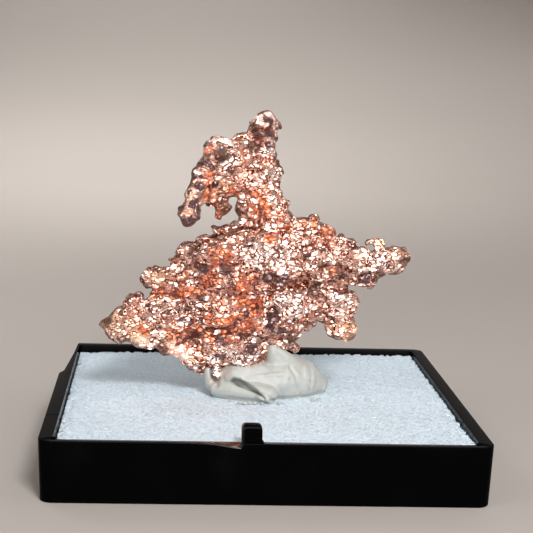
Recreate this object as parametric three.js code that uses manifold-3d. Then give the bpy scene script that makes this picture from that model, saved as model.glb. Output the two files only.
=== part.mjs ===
// Native copper nugget, held by a lump of putty on the foam insert of a small black specimen box.
//
// Millimetres, +Z up. The origin is the centre of the box's underside, X runs along the front
// rim and Y away from it. Every piece is a closed solid, and pieces that touch keep a small gap.

import * as THREE from 'three';
import { mergeVertices } from 'three/addons/utils/BufferGeometryUtils.js';
import Module from 'manifold-3d';

// ---------------------------------------------------------------- driving dimensions

const GAP = 0.25;             // clearance between pieces that meet
const WELD = 1e-5;            // points closer than this are one

const TRAY = {
  side: 32,                   // outside, at the top rim
  height: 4.5,
  wall: 1.0,                  // width of the rim
  floor: 1.0,
  draft: 0.14,                // how far the foot stands in from the rim on each side
  corner: 0.9,                // plan radius of the outer corners
  innerCorner: 0.4,           // plan radius of the hollow's corners
  footRadius: 0.25,           // easing where the walls meet the underside
  rimRadius: 0.08,            // easing of the rim's outer edge
  cutAbove: 1.0,              // how far the block that opens the hollow stands above the rim
  cornerSteps: 5,
};

const PEG = {                 // the small catch moulded on the front rim
  x: -1.2,
  width: 1.3,
  depth: 0.8,
  rise: 1.3,                  // above the rim
  root: 0.5,                  // how far it is sunk in the rim
  round: 0.4,                 // radius of its top corners
  roundSteps: 5,
};

const FOAM = {
  bottom: TRAY.floor + GAP,
  top: 4.25,
  edge: 0.15,                 // easing of the top edge
  corner: 0.4,
  cornerSteps: 3,
};

const NUGGET = { lumpHeight: 0.14 };   // how far a lobe's surface wanders, as a part of its radius
const PUTTY = {
  lumpHeight: 0.03,
  cutDepth: 6,                // depth of the block that trims the putty flat on the foam
};

// How a lobe passes from its start to its end: the share of the ball on each side of its middle
// that is pulled out. Smaller values leave blunter ends.
const PULL = 0.6;

// Two waves that make the lobes lumpy: height, then radians to the millimetre and phase of each factor.
const WAVES = [
  { height: 0.6, first: [2.3, 0, 1.1, 0], second: [0, 1.9, -1.7, 0.6] },
  { height: 0.4, first: [0, 2.2, 4.1, 1.3], second: [3.7, -2.9, 0, 0] },
];

// Colours, roughness and metalness of each piece.
const MATERIALS = {
  nugget: { color: '#c4713f', roughness: 0.35, metalness: 1.0 },
  putty: { color: '#d3d3c9', roughness: 0.85, metalness: 0.0 },
  foam: { color: '#dfe5ea', roughness: 0.95, metalness: 0.0 },
  tray: { color: '#0b0b0c', roughness: 0.25, metalness: 0.0 },
};

// The nugget's lobes: [from x, y, z, radius], [to x, y, z, radius], and the icosphere detail.
// They overlap, and their union is the one piece of copper.
const NUGGET_LOBES = [
  // core of the body, from the foot up to the shoulders
  [[-1.7, 0.1, 6.9, 1.5], [0.6, 0.3, 7.3, 1.45], 2],
  [[-2.0, 0.3, 8.6, 2.2], [1.5, 0.5, 9.0, 1.8], 2],
  [[-3.6, 0.1, 10.3, 2.6], [2.3, 0.3, 11.2, 2.4], 3],
  [[-2.6, 0.1, 14.6, 2.5], [3.1, 0.4, 14.8, 2.5], 3],
  [[-4.7, 0.3, 14.3, 1.6], [-2.6, 0.2, 15.6, 1.7], 2],
  [[-3.1, 0.1, 16.9, 1.1], [-1.0, 0.2, 17.2, 1.3], 1],
  [[-4.4, 0.4, 16.0, 0.7], [-5.5, 0.4, 15.1, 0.8], 1],
  [[2.5, 0.2, 8.3, 0.95], [1.9, 0.2, 9.0, 1.3], 1],
  // lumps on the front face
  [[-3.6, -0.8, 14.8, 1.8], [-1.6, -1.0, 13.2, 1.8], 2],
  [[0.2, -0.8, 15.4, 1.9], [1.3, -1.0, 13.8, 2.0], 2],
  [[3.6, -0.5, 15.0, 1.8], [4.7, -0.3, 13.6, 1.6], 1],
  [[2.0, -0.9, 11.7, 1.8], [0.5, -1.0, 10.4, 1.8], 2],
  [[-5.0, -0.8, 11.7, 1.8], [-3.9, -1.0, 10.2, 1.9], 2],
  [[-1.9, -1.1, 11.6, 1.7], [-1.4, -0.8, 9.9, 1.8], 1],
  [[-3.0, -0.8, 8.5, 1.5], [-1.2, -0.7, 8.0, 1.6], 1],
  // lumps on the back
  [[-3.8, 1.4, 11.9, 1.8], [-2.2, 1.9, 10.4, 1.9], 2],
  [[0.4, 2.1, 12.4, 1.9], [1.4, 1.7, 10.0, 1.7], 2],
  [[-1.8, 1.6, 15.2, 1.7], [0.4, 2.0, 14.1, 1.9], 2],
  [[3.2, 1.6, 15.7, 1.5], [3.9, 1.5, 13.8, 1.7], 1],
  [[-5.6, 1.0, 10.2, 1.5], [-4.2, 1.3, 8.8, 1.4], 1],
  [[-0.8, 1.6, 8.0, 1.3], [1.0, 1.5, 8.4, 1.3], 1],
  // left horn, the shelf under it, the knob above it and its spur
  [[-4.7, 0.0, 7.2, 1.4], [-6.7, -0.2, 8.1, 1.0], 2],
  [[-4.0, 0.1, 6.5, 1.0], [-2.9, 0.0, 7.4, 1.4], 1],
  [[-5.6, 0.0, 10.5, 2.1], [-8.6, -0.5, 10.0, 1.75], 2],
  [[-9.2, -0.5, 9.95, 1.75], [-11.1, -1.1, 9.65, 1.15], 2],
  [[-9.6, -0.2, 11.2, 0.7], [-10.3, -0.7, 10.6, 0.8], 1],
  [[-7.4, -0.8, 8.4, 0.8], [-9.4, -1.1, 8.6, 0.75], 1],
  [[-5.6, 0.3, 13.0, 1.2], [-8.65, 0.6, 13.15, 0.9], 2],
  [[-5.9, 0.9, 14.2, 0.8], [-7.1, 1.2, 14.5, 0.42], 1],
  [[-6.4, -0.4, 12.0, 0.8], [-8.1, -0.2, 12.1, 0.6], 1],
  // right horn with its bumps
  [[5.0, 0.4, 14.7, 2.1], [8.2, 0.8, 14.5, 1.5], 2],
  [[8.4, 0.9, 14.55, 1.45], [11.3, 1.5, 15.1, 0.94], 2],
  [[7.2, 0.4, 13.6, 0.8], [8.9, 0.7, 13.4, 0.62], 1],
  [[5.8, 0.6, 16.2, 0.75], [7.2, 0.9, 16.3, 0.5], 1],
  [[9.0, 1.3, 16.1, 0.58], [9.9, 1.4, 15.9, 0.68], 1],
  [[6.2, -0.6, 14.6, 1.0], [8.6, 0.0, 14.8, 0.8], 1],
  // shoulder that climbs from the right horn to the neck
  [[5.3, 0.2, 17.2, 0.74], [4.9, 0.3, 16.4, 1.1], 1],
  [[3.9, -0.2, 17.7, 0.95], [3.0, 0.1, 16.9, 1.3], 1],
  [[2.4, 0.4, 18.0, 0.98], [1.2, 0.2, 17.6, 1.5], 1],
  // lobe that hangs at the lower right
  [[4.2, 0.0, 12.2, 1.6], [6.3, -0.3, 11.7, 1.5], 2],
  [[6.45, -0.5, 11.2, 1.5], [6.65, -0.9, 9.8, 1.25], 2],
  [[3.4, 0.2, 10.9, 1.2], [5.3, 0.0, 10.6, 0.9], 1],
  // neck and spike
  [[-0.3, 0.2, 20.4, 1.55], [0.5, 0.2, 17.6, 2.4], 2],
  [[-1.0, -0.2, 20.2, 1.0], [-1.1, 0.0, 18.2, 1.0], 1],
  [[0.05, 0.3, 22.4, 1.15], [0.05, 0.2, 20.6, 1.3], 2],
  [[0.05, 0.5, 25.5, 1.17], [0.1, 0.3, 22.8, 1.05], 2],
  [[0.25, 0.5, 26.35, 0.42], [0.1, 0.5, 25.6, 0.9], 1],
  [[1.0, 0.2, 21.9, 0.42], [0.95, 0.2, 21.2, 0.5], 1],
  // hooked arm and the two fingers that hang from it
  [[-1.2, 0.3, 22.9, 1.5], [-1.5, 0.1, 21.2, 1.5], 2],
  [[-1.7, 0.2, 23.7, 1.2], [-3.45, -0.2, 23.35, 1.35], 2],
  [[-2.6, -0.7, 22.3, 1.4], [-2.7, -0.4, 21.0, 1.2], 2],
  [[-4.0, -0.3, 22.7, 1.0], [-4.75, -0.6, 21.4, 1.0], 1],
  [[-5.0, -0.7, 21.5, 0.85], [-5.2, -1.0, 19.8, 0.8], 1],
  [[-5.25, -1.1, 19.6, 0.7], [-5.3, -1.4, 18.6, 0.85], 1],
  [[-5.9, -1.5, 18.75, 0.64], [-5.82, -1.3, 18.0, 0.56], 1],
  [[-3.35, 0.1, 20.4, 0.9], [-3.3, 0.3, 18.95, 0.75], 1],
  [[-4.2, -0.3, 21.3, 0.6], [-4.15, -0.4, 19.95, 0.5], 1],
];

// The putty: a lump with a lip at the left, a peak that laps up the copper and a tail at the right.
const PUTTY_LOBES = [
  [[-2.2, -1.0, 4.5, 1.7], [1.3, -1.2, 4.6, 2.2], 3],
  [[-1.2, -2.1, 4.2, 1.55], [1.4, -2.0, 4.3, 1.6], 2],
  [[1.4, -0.7, 5.2, 2.2], [3.2, -0.2, 5.1, 2.1], 3],
  [[2.6, 0.5, 4.9, 2.1], [4.3, 1.1, 4.6, 1.6], 3],
  [[1.15, -1.5, 7.45, 0.4], [1.9, -0.8, 6.1, 1.3], 2],
  [[-3.35, -0.6, 5.3, 0.7], [-3.0, 0.4, 4.8, 1.1], 2],
  [[-1.8, 1.4, 4.8, 1.7], [2.2, 1.6, 5.2, 1.8], 2],
];

// ---------------------------------------------------------------- helpers

const wasm = await Module();
wasm.setup();

// A closed three.js geometry as a solid that can be joined and cut.
function toSolid(geometry) {
  const bare = geometry.clone();
  bare.deleteAttribute('normal');
  bare.deleteAttribute('uv');
  const merged = mergeVertices(bare, WELD);
  return new wasm.Manifold(new wasm.Mesh({
    numProp: 3,
    vertProperties: new Float32Array(merged.attributes.position.array),
    triVerts: new Uint32Array(merged.index.array),
  }));
}

// A joined or cut solid as a three.js geometry.
function toGeometry(solid) {
  const mesh = solid.getMesh();
  const geometry = new THREE.BufferGeometry();
  geometry.setAttribute('position', new THREE.BufferAttribute(new Float32Array(mesh.vertProperties), 3));
  geometry.setIndex(new THREE.BufferAttribute(new Uint32Array(mesh.triVerts), 1));
  geometry.computeVertexNormals();
  return geometry;
}

// A smooth wandering height between about -1 and 1, for lumpy surfaces.
function lump(p) {
  const swing = ([x, y, z, phase]) => Math.sin(x * p.x + y * p.y + z * p.z + phase);
  return WAVES.reduce((sum, { height, first, second }) => sum + height * swing(first) * swing(second), 0);
}

// A blunt lobe from one point to another, with its own radius at each end.
function lobe([start, end, detail], grow, lumpHeight) {
  const a = new THREE.Vector3(start[0], start[1], start[2]);
  const b = new THREE.Vector3(end[0], end[1], end[2]);
  const axis = b.clone().sub(a).normalize();
  const ball = new THREE.IcosahedronGeometry(1, detail);
  const spots = ball.attributes.position;
  const direction = new THREE.Vector3();
  for (let i = 0; i < spots.count; i++) {
    direction.fromBufferAttribute(spots, i);
    const along = THREE.MathUtils.smoothstep(direction.dot(axis), -PULL, PULL);
    const radius = THREE.MathUtils.lerp(start[3], end[3], along);
    const centre = a.clone().lerp(b, along);
    const height = radius * (1 + lumpHeight * lump(centre.clone().addScaledVector(direction, radius)));
    centre.addScaledVector(direction, height + grow);
    spots.setXYZ(i, centre.x, centre.y, centre.z);
  }
  return toSolid(ball);
}

// The union of a list of lobes, each grown outwards by the same distance.
function lobesUnion(list, grow, lumpHeight) {
  return list.map((entry) => lobe(entry, grow, lumpHeight)).reduce((sum, next) => sum.add(next));
}

// A square outline with rounded corners, as a closed ring of points.
function roundedSquare(side, radius, steps) {
  const half = side / 2 - radius;
  const points = [];
  for (let corner = 0; corner < 4; corner++) {
    const start = corner * Math.PI / 2;
    const centre = new THREE.Vector2(half, half).rotateAround(new THREE.Vector2(), start);
    for (let i = 0; i <= steps; i++) {
      const angle = start + (i / steps) * Math.PI / 2;
      points.push(new THREE.Vector2(radius * Math.cos(angle), radius * Math.sin(angle)).add(centre));
    }
  }
  return points;
}

// A closed solid lofted through rounded squares, each { side, z, corner }, from the bottom up.
function squareLoft(levels, steps) {
  const rings = levels.map((level) => roundedSquare(level.side, level.corner, steps));
  const count = rings[0].length;
  const position = [];
  const index = [];
  rings.forEach((ring, i) => ring.forEach((p) => position.push(p.x, p.y, levels[i].z)));
  for (let level = 0; level + 1 < levels.length; level++) {
    for (let i = 0; i < count; i++) {
      const here = level * count + i;
      const next = level * count + (i + 1) % count;
      index.push(here, next, next + count, here, next + count, here + count);
    }
  }
  const top = (levels.length - 1) * count;
  for (let i = 1; i + 1 < count; i++) {
    index.push(0, i + 1, i, top, top + i, top + i + 1);
  }
  const geometry = new THREE.BufferGeometry();
  geometry.setAttribute('position', new THREE.Float32BufferAttribute(position, 3));
  geometry.setIndex(index);
  return toSolid(geometry);
}

// A named mesh with the material of its own piece.
function piece(name, geometry) {
  const mesh = new THREE.Mesh(geometry, new THREE.MeshStandardMaterial(MATERIALS[name]));
  mesh.name = name;
  return mesh;
}

// ---------------------------------------------------------------- the pieces

// The moulded base: drafted walls, an open hollow and the catch on the front rim.
function makeTray() {
  const foot = TRAY.side - 2 * TRAY.draft;
  const outer = squareLoft([
    { side: foot - 2 * TRAY.footRadius, z: 0, corner: TRAY.corner },
    { side: foot, z: TRAY.footRadius, corner: TRAY.corner },
    { side: TRAY.side, z: TRAY.height - TRAY.rimRadius, corner: TRAY.corner },
    { side: TRAY.side - 2 * TRAY.rimRadius, z: TRAY.height, corner: TRAY.corner },
  ], TRAY.cornerSteps);
  const mouth = TRAY.side - 2 * TRAY.wall;
  const hollow = squareLoft([
    { side: mouth - 2 * TRAY.draft, z: TRAY.floor, corner: TRAY.innerCorner },
    { side: mouth, z: TRAY.height, corner: TRAY.innerCorner },
    { side: mouth, z: TRAY.height + TRAY.cutAbove, corner: TRAY.innerCorner },
  ], TRAY.cornerSteps);
  return outer.subtract(hollow).add(makePeg());
}

// A flat tab with a rounded top that stands in the middle of the front rim's width.
function makePeg() {
  const half = PEG.width / 2;
  const low = TRAY.height - PEG.root;
  const high = TRAY.height + PEG.rise;
  const outline = new THREE.Shape();
  outline.moveTo(-half, low);
  outline.lineTo(half, low);
  outline.lineTo(half, high - PEG.round);
  outline.absarc(half - PEG.round, high - PEG.round, PEG.round, 0, Math.PI / 2);
  outline.lineTo(-half + PEG.round, high);
  outline.absarc(-half + PEG.round, high - PEG.round, PEG.round, Math.PI / 2, Math.PI);
  outline.closePath();
  const tab = new THREE.ExtrudeGeometry(outline, {
    depth: PEG.depth,
    bevelEnabled: false,
    curveSegments: PEG.roundSteps,
  });
  const rimMiddle = -(TRAY.side - TRAY.wall) / 2;
  tab.rotateX(Math.PI / 2);
  tab.translate(PEG.x, rimMiddle + PEG.depth / 2, 0);
  return toSolid(tab);
}

// The foam insert: a block that fills the hollow, with its top just below the rim.
function makeFoam() {
  const side = TRAY.side - 2 * (TRAY.wall + GAP);
  const foot = side - 2 * TRAY.draft;
  return squareLoft([
    { side: foot, z: FOAM.bottom, corner: FOAM.corner },
    { side, z: FOAM.top - FOAM.edge, corner: FOAM.corner },
    { side: side - 2 * FOAM.edge, z: FOAM.top, corner: FOAM.corner },
  ], FOAM.cornerSteps);
}

// The putty: its lobes, cut off flat on the foam and hollowed where the copper sits in it.
function makePutty() {
  const lumps = lobesUnion(PUTTY_LOBES, 0, PUTTY.lumpHeight);
  const belowFoam = squareLoft([
    { side: TRAY.side, z: FOAM.top - PUTTY.cutDepth, corner: TRAY.corner },
    { side: TRAY.side, z: FOAM.top + GAP, corner: TRAY.corner },
  ], TRAY.cornerSteps);
  return lumps.subtract(belowFoam).subtract(lobesUnion(NUGGET_LOBES, GAP, NUGGET.lumpHeight));
}

const part = new THREE.Group();
part.add(piece('tray', toGeometry(makeTray())));
part.add(piece('foam', toGeometry(makeFoam())));
part.add(piece('putty', toGeometry(makePutty())));
part.add(piece('nugget', toGeometry(lobesUnion(NUGGET_LOBES, 0, NUGGET.lumpHeight))));

export default part;
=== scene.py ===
"""Native copper nugget held by a lump of putty in a small black specimen box.

The file is laid out as a Blender add-on and is run as a script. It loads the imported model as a
fixed frame, makes each piece's fine surface around it with one operator per piece, lights the
stage and sets the camera. Shapes are modelled in millimetres and written in metres.
"""

import math

import bmesh
import bpy
import numpy as np
from bpy.props import FloatProperty, FloatVectorProperty, PointerProperty
from mathutils import Euler, Matrix, Vector, noise


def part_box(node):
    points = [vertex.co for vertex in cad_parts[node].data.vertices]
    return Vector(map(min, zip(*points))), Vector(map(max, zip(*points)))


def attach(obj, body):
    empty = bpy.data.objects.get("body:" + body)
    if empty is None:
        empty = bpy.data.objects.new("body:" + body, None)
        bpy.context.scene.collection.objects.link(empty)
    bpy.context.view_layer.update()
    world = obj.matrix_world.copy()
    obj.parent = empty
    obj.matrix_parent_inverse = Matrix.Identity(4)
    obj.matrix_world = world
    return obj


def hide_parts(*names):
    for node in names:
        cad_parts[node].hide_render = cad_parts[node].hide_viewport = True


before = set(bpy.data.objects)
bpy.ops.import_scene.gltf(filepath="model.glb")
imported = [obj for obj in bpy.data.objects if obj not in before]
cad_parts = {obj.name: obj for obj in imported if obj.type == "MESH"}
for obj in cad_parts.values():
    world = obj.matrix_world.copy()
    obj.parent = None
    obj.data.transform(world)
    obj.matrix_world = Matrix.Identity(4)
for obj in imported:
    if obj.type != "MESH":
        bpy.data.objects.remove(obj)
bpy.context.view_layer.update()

bl_info = {
    "name": "Copper Specimen",
    "version": (1, 0, 0),
    "blender": (4, 5, 0),
    "location": "3D View > Sidebar > Specimen",
    "description": "Builds a native copper nugget on putty in a small foam-lined specimen box",
    "category": "Add Mesh",
}

MM = 0.001


def box_mm(node):
    """The lowest and highest corners of a frame node, in millimetres."""
    low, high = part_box(node)
    return low / MM, high / MM


def mm(length):
    """A length from the settings, which hold metres, in millimetres."""
    return round(length / MM, 5)


TRAY_LOW, TRAY_HIGH = box_mm("tray")
FOAM_LOW, FOAM_HIGH = box_mm("foam")
SIDE = TRAY_HIGH.x - TRAY_LOW.x


# ---------------------------------------------------------------- settings


class NuggetSettings(bpy.types.PropertyGroup):
    """Grain sizes and colours of the copper."""

    voxel: FloatProperty(
        name="Grid", description="Spacing of the surface grid",
        default=0.11 * MM, min=0.05 * MM, unit="LENGTH", precision=5,
    )
    lump_height: FloatProperty(
        name="Lumps", description="Height of the rounded lumps",
        default=0.42 * MM, unit="LENGTH", precision=5,
    )
    knob_height: FloatProperty(
        name="Knobs", description="Height of the knobs and facets",
        default=0.24 * MM, min=0.01 * MM, unit="LENGTH", precision=5,
    )
    grain_height: FloatProperty(
        name="Grains", description="Height of the small grains",
        default=0.06 * MM, unit="LENGTH", precision=5,
    )
    plate_scale: FloatProperty(
        name="Plates", description="Crystal plates to the metre", default=2250, min=1
    )
    plate_tilt: FloatProperty(
        name="Plate tilt", description="How far single plates lean",
        default=0.5, min=0, max=1, subtype="FACTOR",
    )
    warp: FloatProperty(
        name="Warp", description="How far the plates' outlines wander",
        default=0.4 * MM, unit="LENGTH", precision=5,
    )
    relief: FloatProperty(
        name="Relief", description="Depth of the finest folds",
        default=0.25 * MM, unit="LENGTH", precision=5,
    )
    bright: FloatVectorProperty(
        name="Bright copper", description="Fresh crystal faces",
        subtype="COLOR", min=0, max=1, default=(0.96, 0.71, 0.61),
    )
    # Painted highlight: a paler copper laid where the metal catches the light.
    painted_highlight: FloatVectorProperty(
        name="Pale copper", description="Brightest clusters",
        subtype="COLOR", min=0, max=1, default=(0.98, 0.80, 0.72),
    )
    deep: FloatVectorProperty(
        name="Deep copper", description="Older faces",
        subtype="COLOR", min=0, max=1, default=(0.85, 0.46, 0.34),
    )
    gold: FloatVectorProperty(
        name="Golden copper", description="Granular horn tips",
        subtype="COLOR", min=0, max=1, default=(0.92, 0.58, 0.40),
    )
    orange: FloatVectorProperty(
        name="Orange stain", description="Stained hollows",
        subtype="COLOR", min=0, max=1, default=(0.88, 0.22, 0.085),
    )
    # Painted shade: the dark red laid into creases, hollows and the rims between plates, where shade and
    # red light reflected between the plates fall.
    crease: FloatVectorProperty(
        name="Crease red", description="Bottoms of the creases",
        subtype="COLOR", min=0, max=1, default=(0.15, 0.042, 0.024),
    )
    # Brown film mixed with painted shade: the sides that turn away from the front are darkened with it.
    rind: FloatVectorProperty(
        name="Brown rind", description="Film on the sides and the darkest places",
        subtype="COLOR", min=0, max=1, default=(0.16, 0.072, 0.042),
    )
    # Tarnish film, also laid as painted shade under the arch's hook, in the pits and along the arm's edges.
    tarnish_and_shade: FloatVectorProperty(
        name="Tarnish", description="Brown and mauve film",
        subtype="COLOR", min=0, max=1, default=(0.145, 0.078, 0.08),
    )


class HolderSettings(bpy.types.PropertyGroup):
    """Sizes and colours of the putty, the foam and the box."""

    putty_color: FloatVectorProperty(
        name="Putty", description="Colour of the mounting putty",
        subtype="COLOR", min=0, max=1, default=(0.43, 0.44, 0.415),
    )
    putty_shade: FloatVectorProperty(
        name="Putty, soiled", description="Colour of handled putty",
        subtype="COLOR", min=0, max=1, default=(0.36, 0.36, 0.31),
    )
    foam_color: FloatVectorProperty(
        name="Foam", description="Colour of the foam insert",
        subtype="COLOR", min=0, max=1, default=(0.68, 0.81, 0.91),
    )
    foam_cell: FloatProperty(
        name="Foam cell", description="Size of one foam cell",
        default=0.26 * MM, min=0.1 * MM, unit="LENGTH", precision=5,
    )
    tray_color: FloatVectorProperty(
        name="Box", description="Colour of the moulded box",
        subtype="COLOR", min=0, max=1, default=(0.0015, 0.0015, 0.0016),
    )
    rim_height: FloatProperty(
        name="Rim height", description="Height of the rim above the table",
        default=4.5 * MM, unit="LENGTH", precision=4,
    )
    wall: FloatProperty(
        name="Wall", description="Width of the rim", default=1.0 * MM, unit="LENGTH", precision=4
    )
    peg_x: FloatProperty(
        name="Catch place", description="Place of the catch along the rim",
        default=-1.2 * MM, unit="LENGTH", precision=4,
    )


class StageSettings(bpy.types.PropertyGroup):
    """Backdrop, lights and camera."""

    backdrop_color: FloatVectorProperty(
        name="Backdrop", description="Colour of the floor and backdrop",
        subtype="COLOR", min=0, max=1, default=(0.50, 0.455, 0.42),
    )
    lens: FloatProperty(name="Lens", description="Focal length", default=99.44, unit="CAMERA")
    floor_radius: FloatProperty(
        name="Floor", description="Radius of the flat floor", default=130 * MM, unit="LENGTH"
    )
    bend_radius: FloatProperty(
        name="Bend", description="Radius of the backdrop's bend", default=430 * MM, unit="LENGTH"
    )
    room_light: FloatProperty(
        name="Room light", description="Light of the room on the stage", default=0.22, min=0
    )
    room_reflection: FloatProperty(
        name="Room reflection", description="Brightness of the room in reflections", default=0.3, min=0
    )


# ---------------------------------------------------------------- mesh helpers

WELD = 0.0005  # vertices nearer than this, in millimetres, become one
TILT_KEY, STEP_KEY = 53.0, 29.0  # multipliers that give each facet its own tilt and its own step
FACET_STEP = 0.4  # how far neighbouring facets step up or down, against their tilt
SPOT_FADE = 1.4  # how steeply a spot fades: more than 1 leaves its middle full
LINE_SPREAD = 1.6  # how far a line's shape reaches, as a share of its half width
BLUNT = 0.6  # the part of a lobe's ball, from its middle, that is pulled out to its two ends


def merged_copy(node):
    """A frame node's mesh as one connected surface, in millimetres."""
    bm = bmesh.new()
    bm.from_mesh(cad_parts[node].data)
    bmesh.ops.scale(bm, verts=bm.verts, vec=Vector((1, 1, 1)) / MM)
    bmesh.ops.remove_doubles(bm, verts=bm.verts, dist=WELD)
    return bm


def new_object(name, bm):
    """Turns a bmesh, which it uses up, into an object in the scene."""
    mesh = bpy.data.meshes.new(name)
    bm.to_mesh(mesh)
    bm.free()
    made = bpy.data.objects.new(name, mesh)
    bpy.context.scene.collection.objects.link(made)
    return made


def drop_object(made):
    """Removes a helper object and its mesh."""
    mesh = made.data
    bpy.data.objects.remove(made)
    bpy.data.meshes.remove(mesh)


def through_modifiers(bm, *modifiers):
    """Runs a bmesh through modifiers, each given as (type, settings), and returns the result."""
    work = new_object("work", bm)
    for kind, settings in modifiers:
        modifier = work.modifiers.new(kind, kind)
        for key, value in settings.items():
            setattr(modifier, key, value)
    made = work.evaluated_get(bpy.context.evaluated_depsgraph_get()).to_mesh()
    result = bmesh.new()
    result.from_mesh(made)
    drop_object(work)
    return result


def combined(bm, tool, operation, *later, **options):
    """Joins or cuts a bmesh with a second one, which it uses up, then applies any later modifiers."""
    other = new_object("tool", tool)
    boolean = ("BOOLEAN", {"object": other, "operation": operation, **options})
    result = through_modifiers(bm, boolean, *later)
    drop_object(other)
    return result


def grid_of(voxel):
    """The modifier that rebuilds a surface on an even grid."""
    return ("REMESH", {"mode": "VOXEL", "voxel_size": voxel})


def remeshed(bm, voxel):
    """The outer skin of a bmesh on an even grid."""
    return through_modifiers(bm, grid_of(voxel))


def smooth(bm, times, factor=0.5, verts=None):
    """Relaxes every vertex, or the given ones, towards their neighbours."""
    for _ in range(times):
        bmesh.ops.smooth_vert(
            bm, verts=verts or bm.verts, factor=factor, use_axis_x=True, use_axis_y=True, use_axis_z=True
        )


def points_of(bm):
    """Vertex places and normals as two arrays."""
    bm.normal_update()
    places = np.array([v.co for v in bm.verts])
    normals = np.array([v.normal for v in bm.verts])
    return places, normals


def place_points(bm, places):
    """Moves every vertex to its row of an array."""
    for vert, place in zip(bm.verts, places):
        vert.co = place


def facet_height(point, size, stretch):
    """Height of a broken surface of tilted plane facets, about -0.5 to 0.5, at a point."""
    cell = Vector((point[0] / (size * stretch), point[1] / size, point[2] / size))
    centre = noise.voronoi(cell)[1][0]
    tilt = noise.cell_vector(centre * TILT_KEY) - Vector((0.5, 0.5, 0.5))
    return (cell - centre).dot(tilt) + FACET_STEP * (noise.cell(centre * STEP_KEY) - 0.5)


def spot_mask(places, spots):
    """Greatest of the soft round spots, each (x, y, z, radius), at every place."""
    mask = np.zeros(len(places))
    for x, y, z, radius in spots:
        distance = np.linalg.norm(places - (x, y, z), axis=1) / radius
        mask = np.maximum(mask, np.clip(SPOT_FADE * (1 - distance), 0, 1))
    return mask


def facing_front(normals, gain, offset=0.0):
    """How squarely every normal faces the front, from 0 to 1."""
    return np.clip(offset - gain * normals[:, 1], 0, 1)


def line_distance(places, line):
    """Distance from every place to the nearest stretch of a line of points."""
    nearest = np.full(len(places), 1e9)
    for start, end in zip(line, line[1:]):
        start, run = np.array(start), np.array(end) - np.array(start)
        along = np.clip(((places - start) @ run) / (run @ run), 0, 1)
        nearest = np.minimum(nearest, np.linalg.norm(places - start - along[:, None] * run, axis=1))
    return nearest


def lobe(bm, start, start_radius, end, end_radius, subdivisions=4):
    """Adds a blunt lobe from one point to another: a ball pulled out to its two ends."""
    start, end = Vector(start), Vector(end)
    axis = (end - start).normalized()
    for vert in bmesh.ops.create_icosphere(bm, subdivisions=subdivisions, radius=1)["verts"]:
        along = min(max((vert.co.dot(axis) + BLUNT) / (2 * BLUNT), 0), 1)
        along = along * along * (3 - 2 * along)
        radius = start_radius + (end_radius - start_radius) * along
        vert.co = start.lerp(end, along) + vert.co * radius


def ring(bm, width, corner, height, steps=6):
    """Adds a closed ring of edges, a square with rounded corners, and returns its edges."""
    made = bmesh.ops.create_grid(bm, x_segments=1, y_segments=1, size=0.5)["verts"]
    for vert in made:
        vert.co = Vector((vert.co.x * width, vert.co.y * width, height))
    face = made[0].link_faces[0]
    bmesh.ops.bevel(
        bm, geom=list(face.verts), offset=corner, offset_type="OFFSET", affect="VERTICES",
        segments=steps, profile=0.5, material=-1,
    )
    face = next(iter(bm.faces))
    edges = list(face.edges)
    bmesh.ops.delete(bm, geom=[face], context="FACES_ONLY")
    return edges


def loft(bm, rings):
    """Bridges rings in order, each (width, corner, height), and closes both ends.

    The rings are bridged far apart and then moved to their heights, because rings that lie in one
    plane don't bridge.
    """
    loops, heights = [], {}
    for step, (width, corner, height) in enumerate(rings):
        loop = ring(bm, width, corner, step * width)
        loops.append(loop)
        heights.update({vert: height for edge in loop for vert in edge.verts})
    for lower, upper in zip(loops, loops[1:]):
        bmesh.ops.bridge_loops(bm, edges=lower + upper)
    for loop in (loops[0], loops[-1]):
        bmesh.ops.contextual_create(bm, geom=loop)
    for vert, height in heights.items():
        vert.co.z = height
    bmesh.ops.recalc_face_normals(bm, faces=bm.faces)


def finished_object(name, bm, material):
    """Turns a bmesh in millimetres into a smooth-shaded object in metres, with its material."""
    bmesh.ops.scale(bm, verts=bm.verts, vec=Vector((MM, MM, MM)))
    made = new_object(name, bm)
    made.data.polygons.foreach_set("use_smooth", [True] * len(made.data.polygons))
    made.data.materials.append(material)
    return made


def write_piece(name, bm, material, node, attributes=None):
    """Finishes a piece that replaces its frame node, with attributes of one value a vertex."""
    piece = finished_object(name, bm, material)
    for key, values in (attributes or {}).items():
        layer = piece.data.attributes.new(key, "FLOAT", "POINT")
        layer.data.foreach_set("value", np.asarray(values, np.float32))
    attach(piece, "root")
    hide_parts(node)
    return piece


# ---------------------------------------------------------------- material helpers

# Sockets of the Mix node by number, because its colours and vectors share their names.
MIX_FACTOR, MIX_VECTORS, MIX_VECTOR_OUT, MIX_COLORS, MIX_COLOR_OUT = 0, (4, 5), 1, (6, 7), 2


def add(tree, kind, inputs=None, **options):
    """Adds one node, sets its options, and links or sets its inputs."""
    made = tree.nodes.new(kind)
    for key, value in options.items():
        setattr(made, key, value)
    for key, value in (inputs or {}).items():
        if isinstance(value, bpy.types.NodeSocket):
            tree.links.new(value, made.inputs[key])
        else:
            made.inputs[key].default_value = value
    return made


def blend(tree, factor, low, high):
    """Mixes two colours, each a socket or a colour; returns the result."""
    inputs = {MIX_FACTOR: factor}
    for key, value in ((MIX_COLORS[0], low), (MIX_COLORS[1], high)):
        inputs[key] = value if isinstance(value, bpy.types.NodeSocket) else (*value, 1)
    return add(tree, "ShaderNodeMix", inputs, data_type="RGBA").outputs[MIX_COLOR_OUT]


def span(tree, value, low, high, new_low=0.0, new_high=1.0):
    """Maps a value from one range to another, held inside it."""
    made = add(
        tree, "ShaderNodeMapRange",
        {"Value": value, "From Min": low, "From Max": high, "To Min": new_low, "To Max": new_high},
    )
    return made.outputs["Result"]


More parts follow.
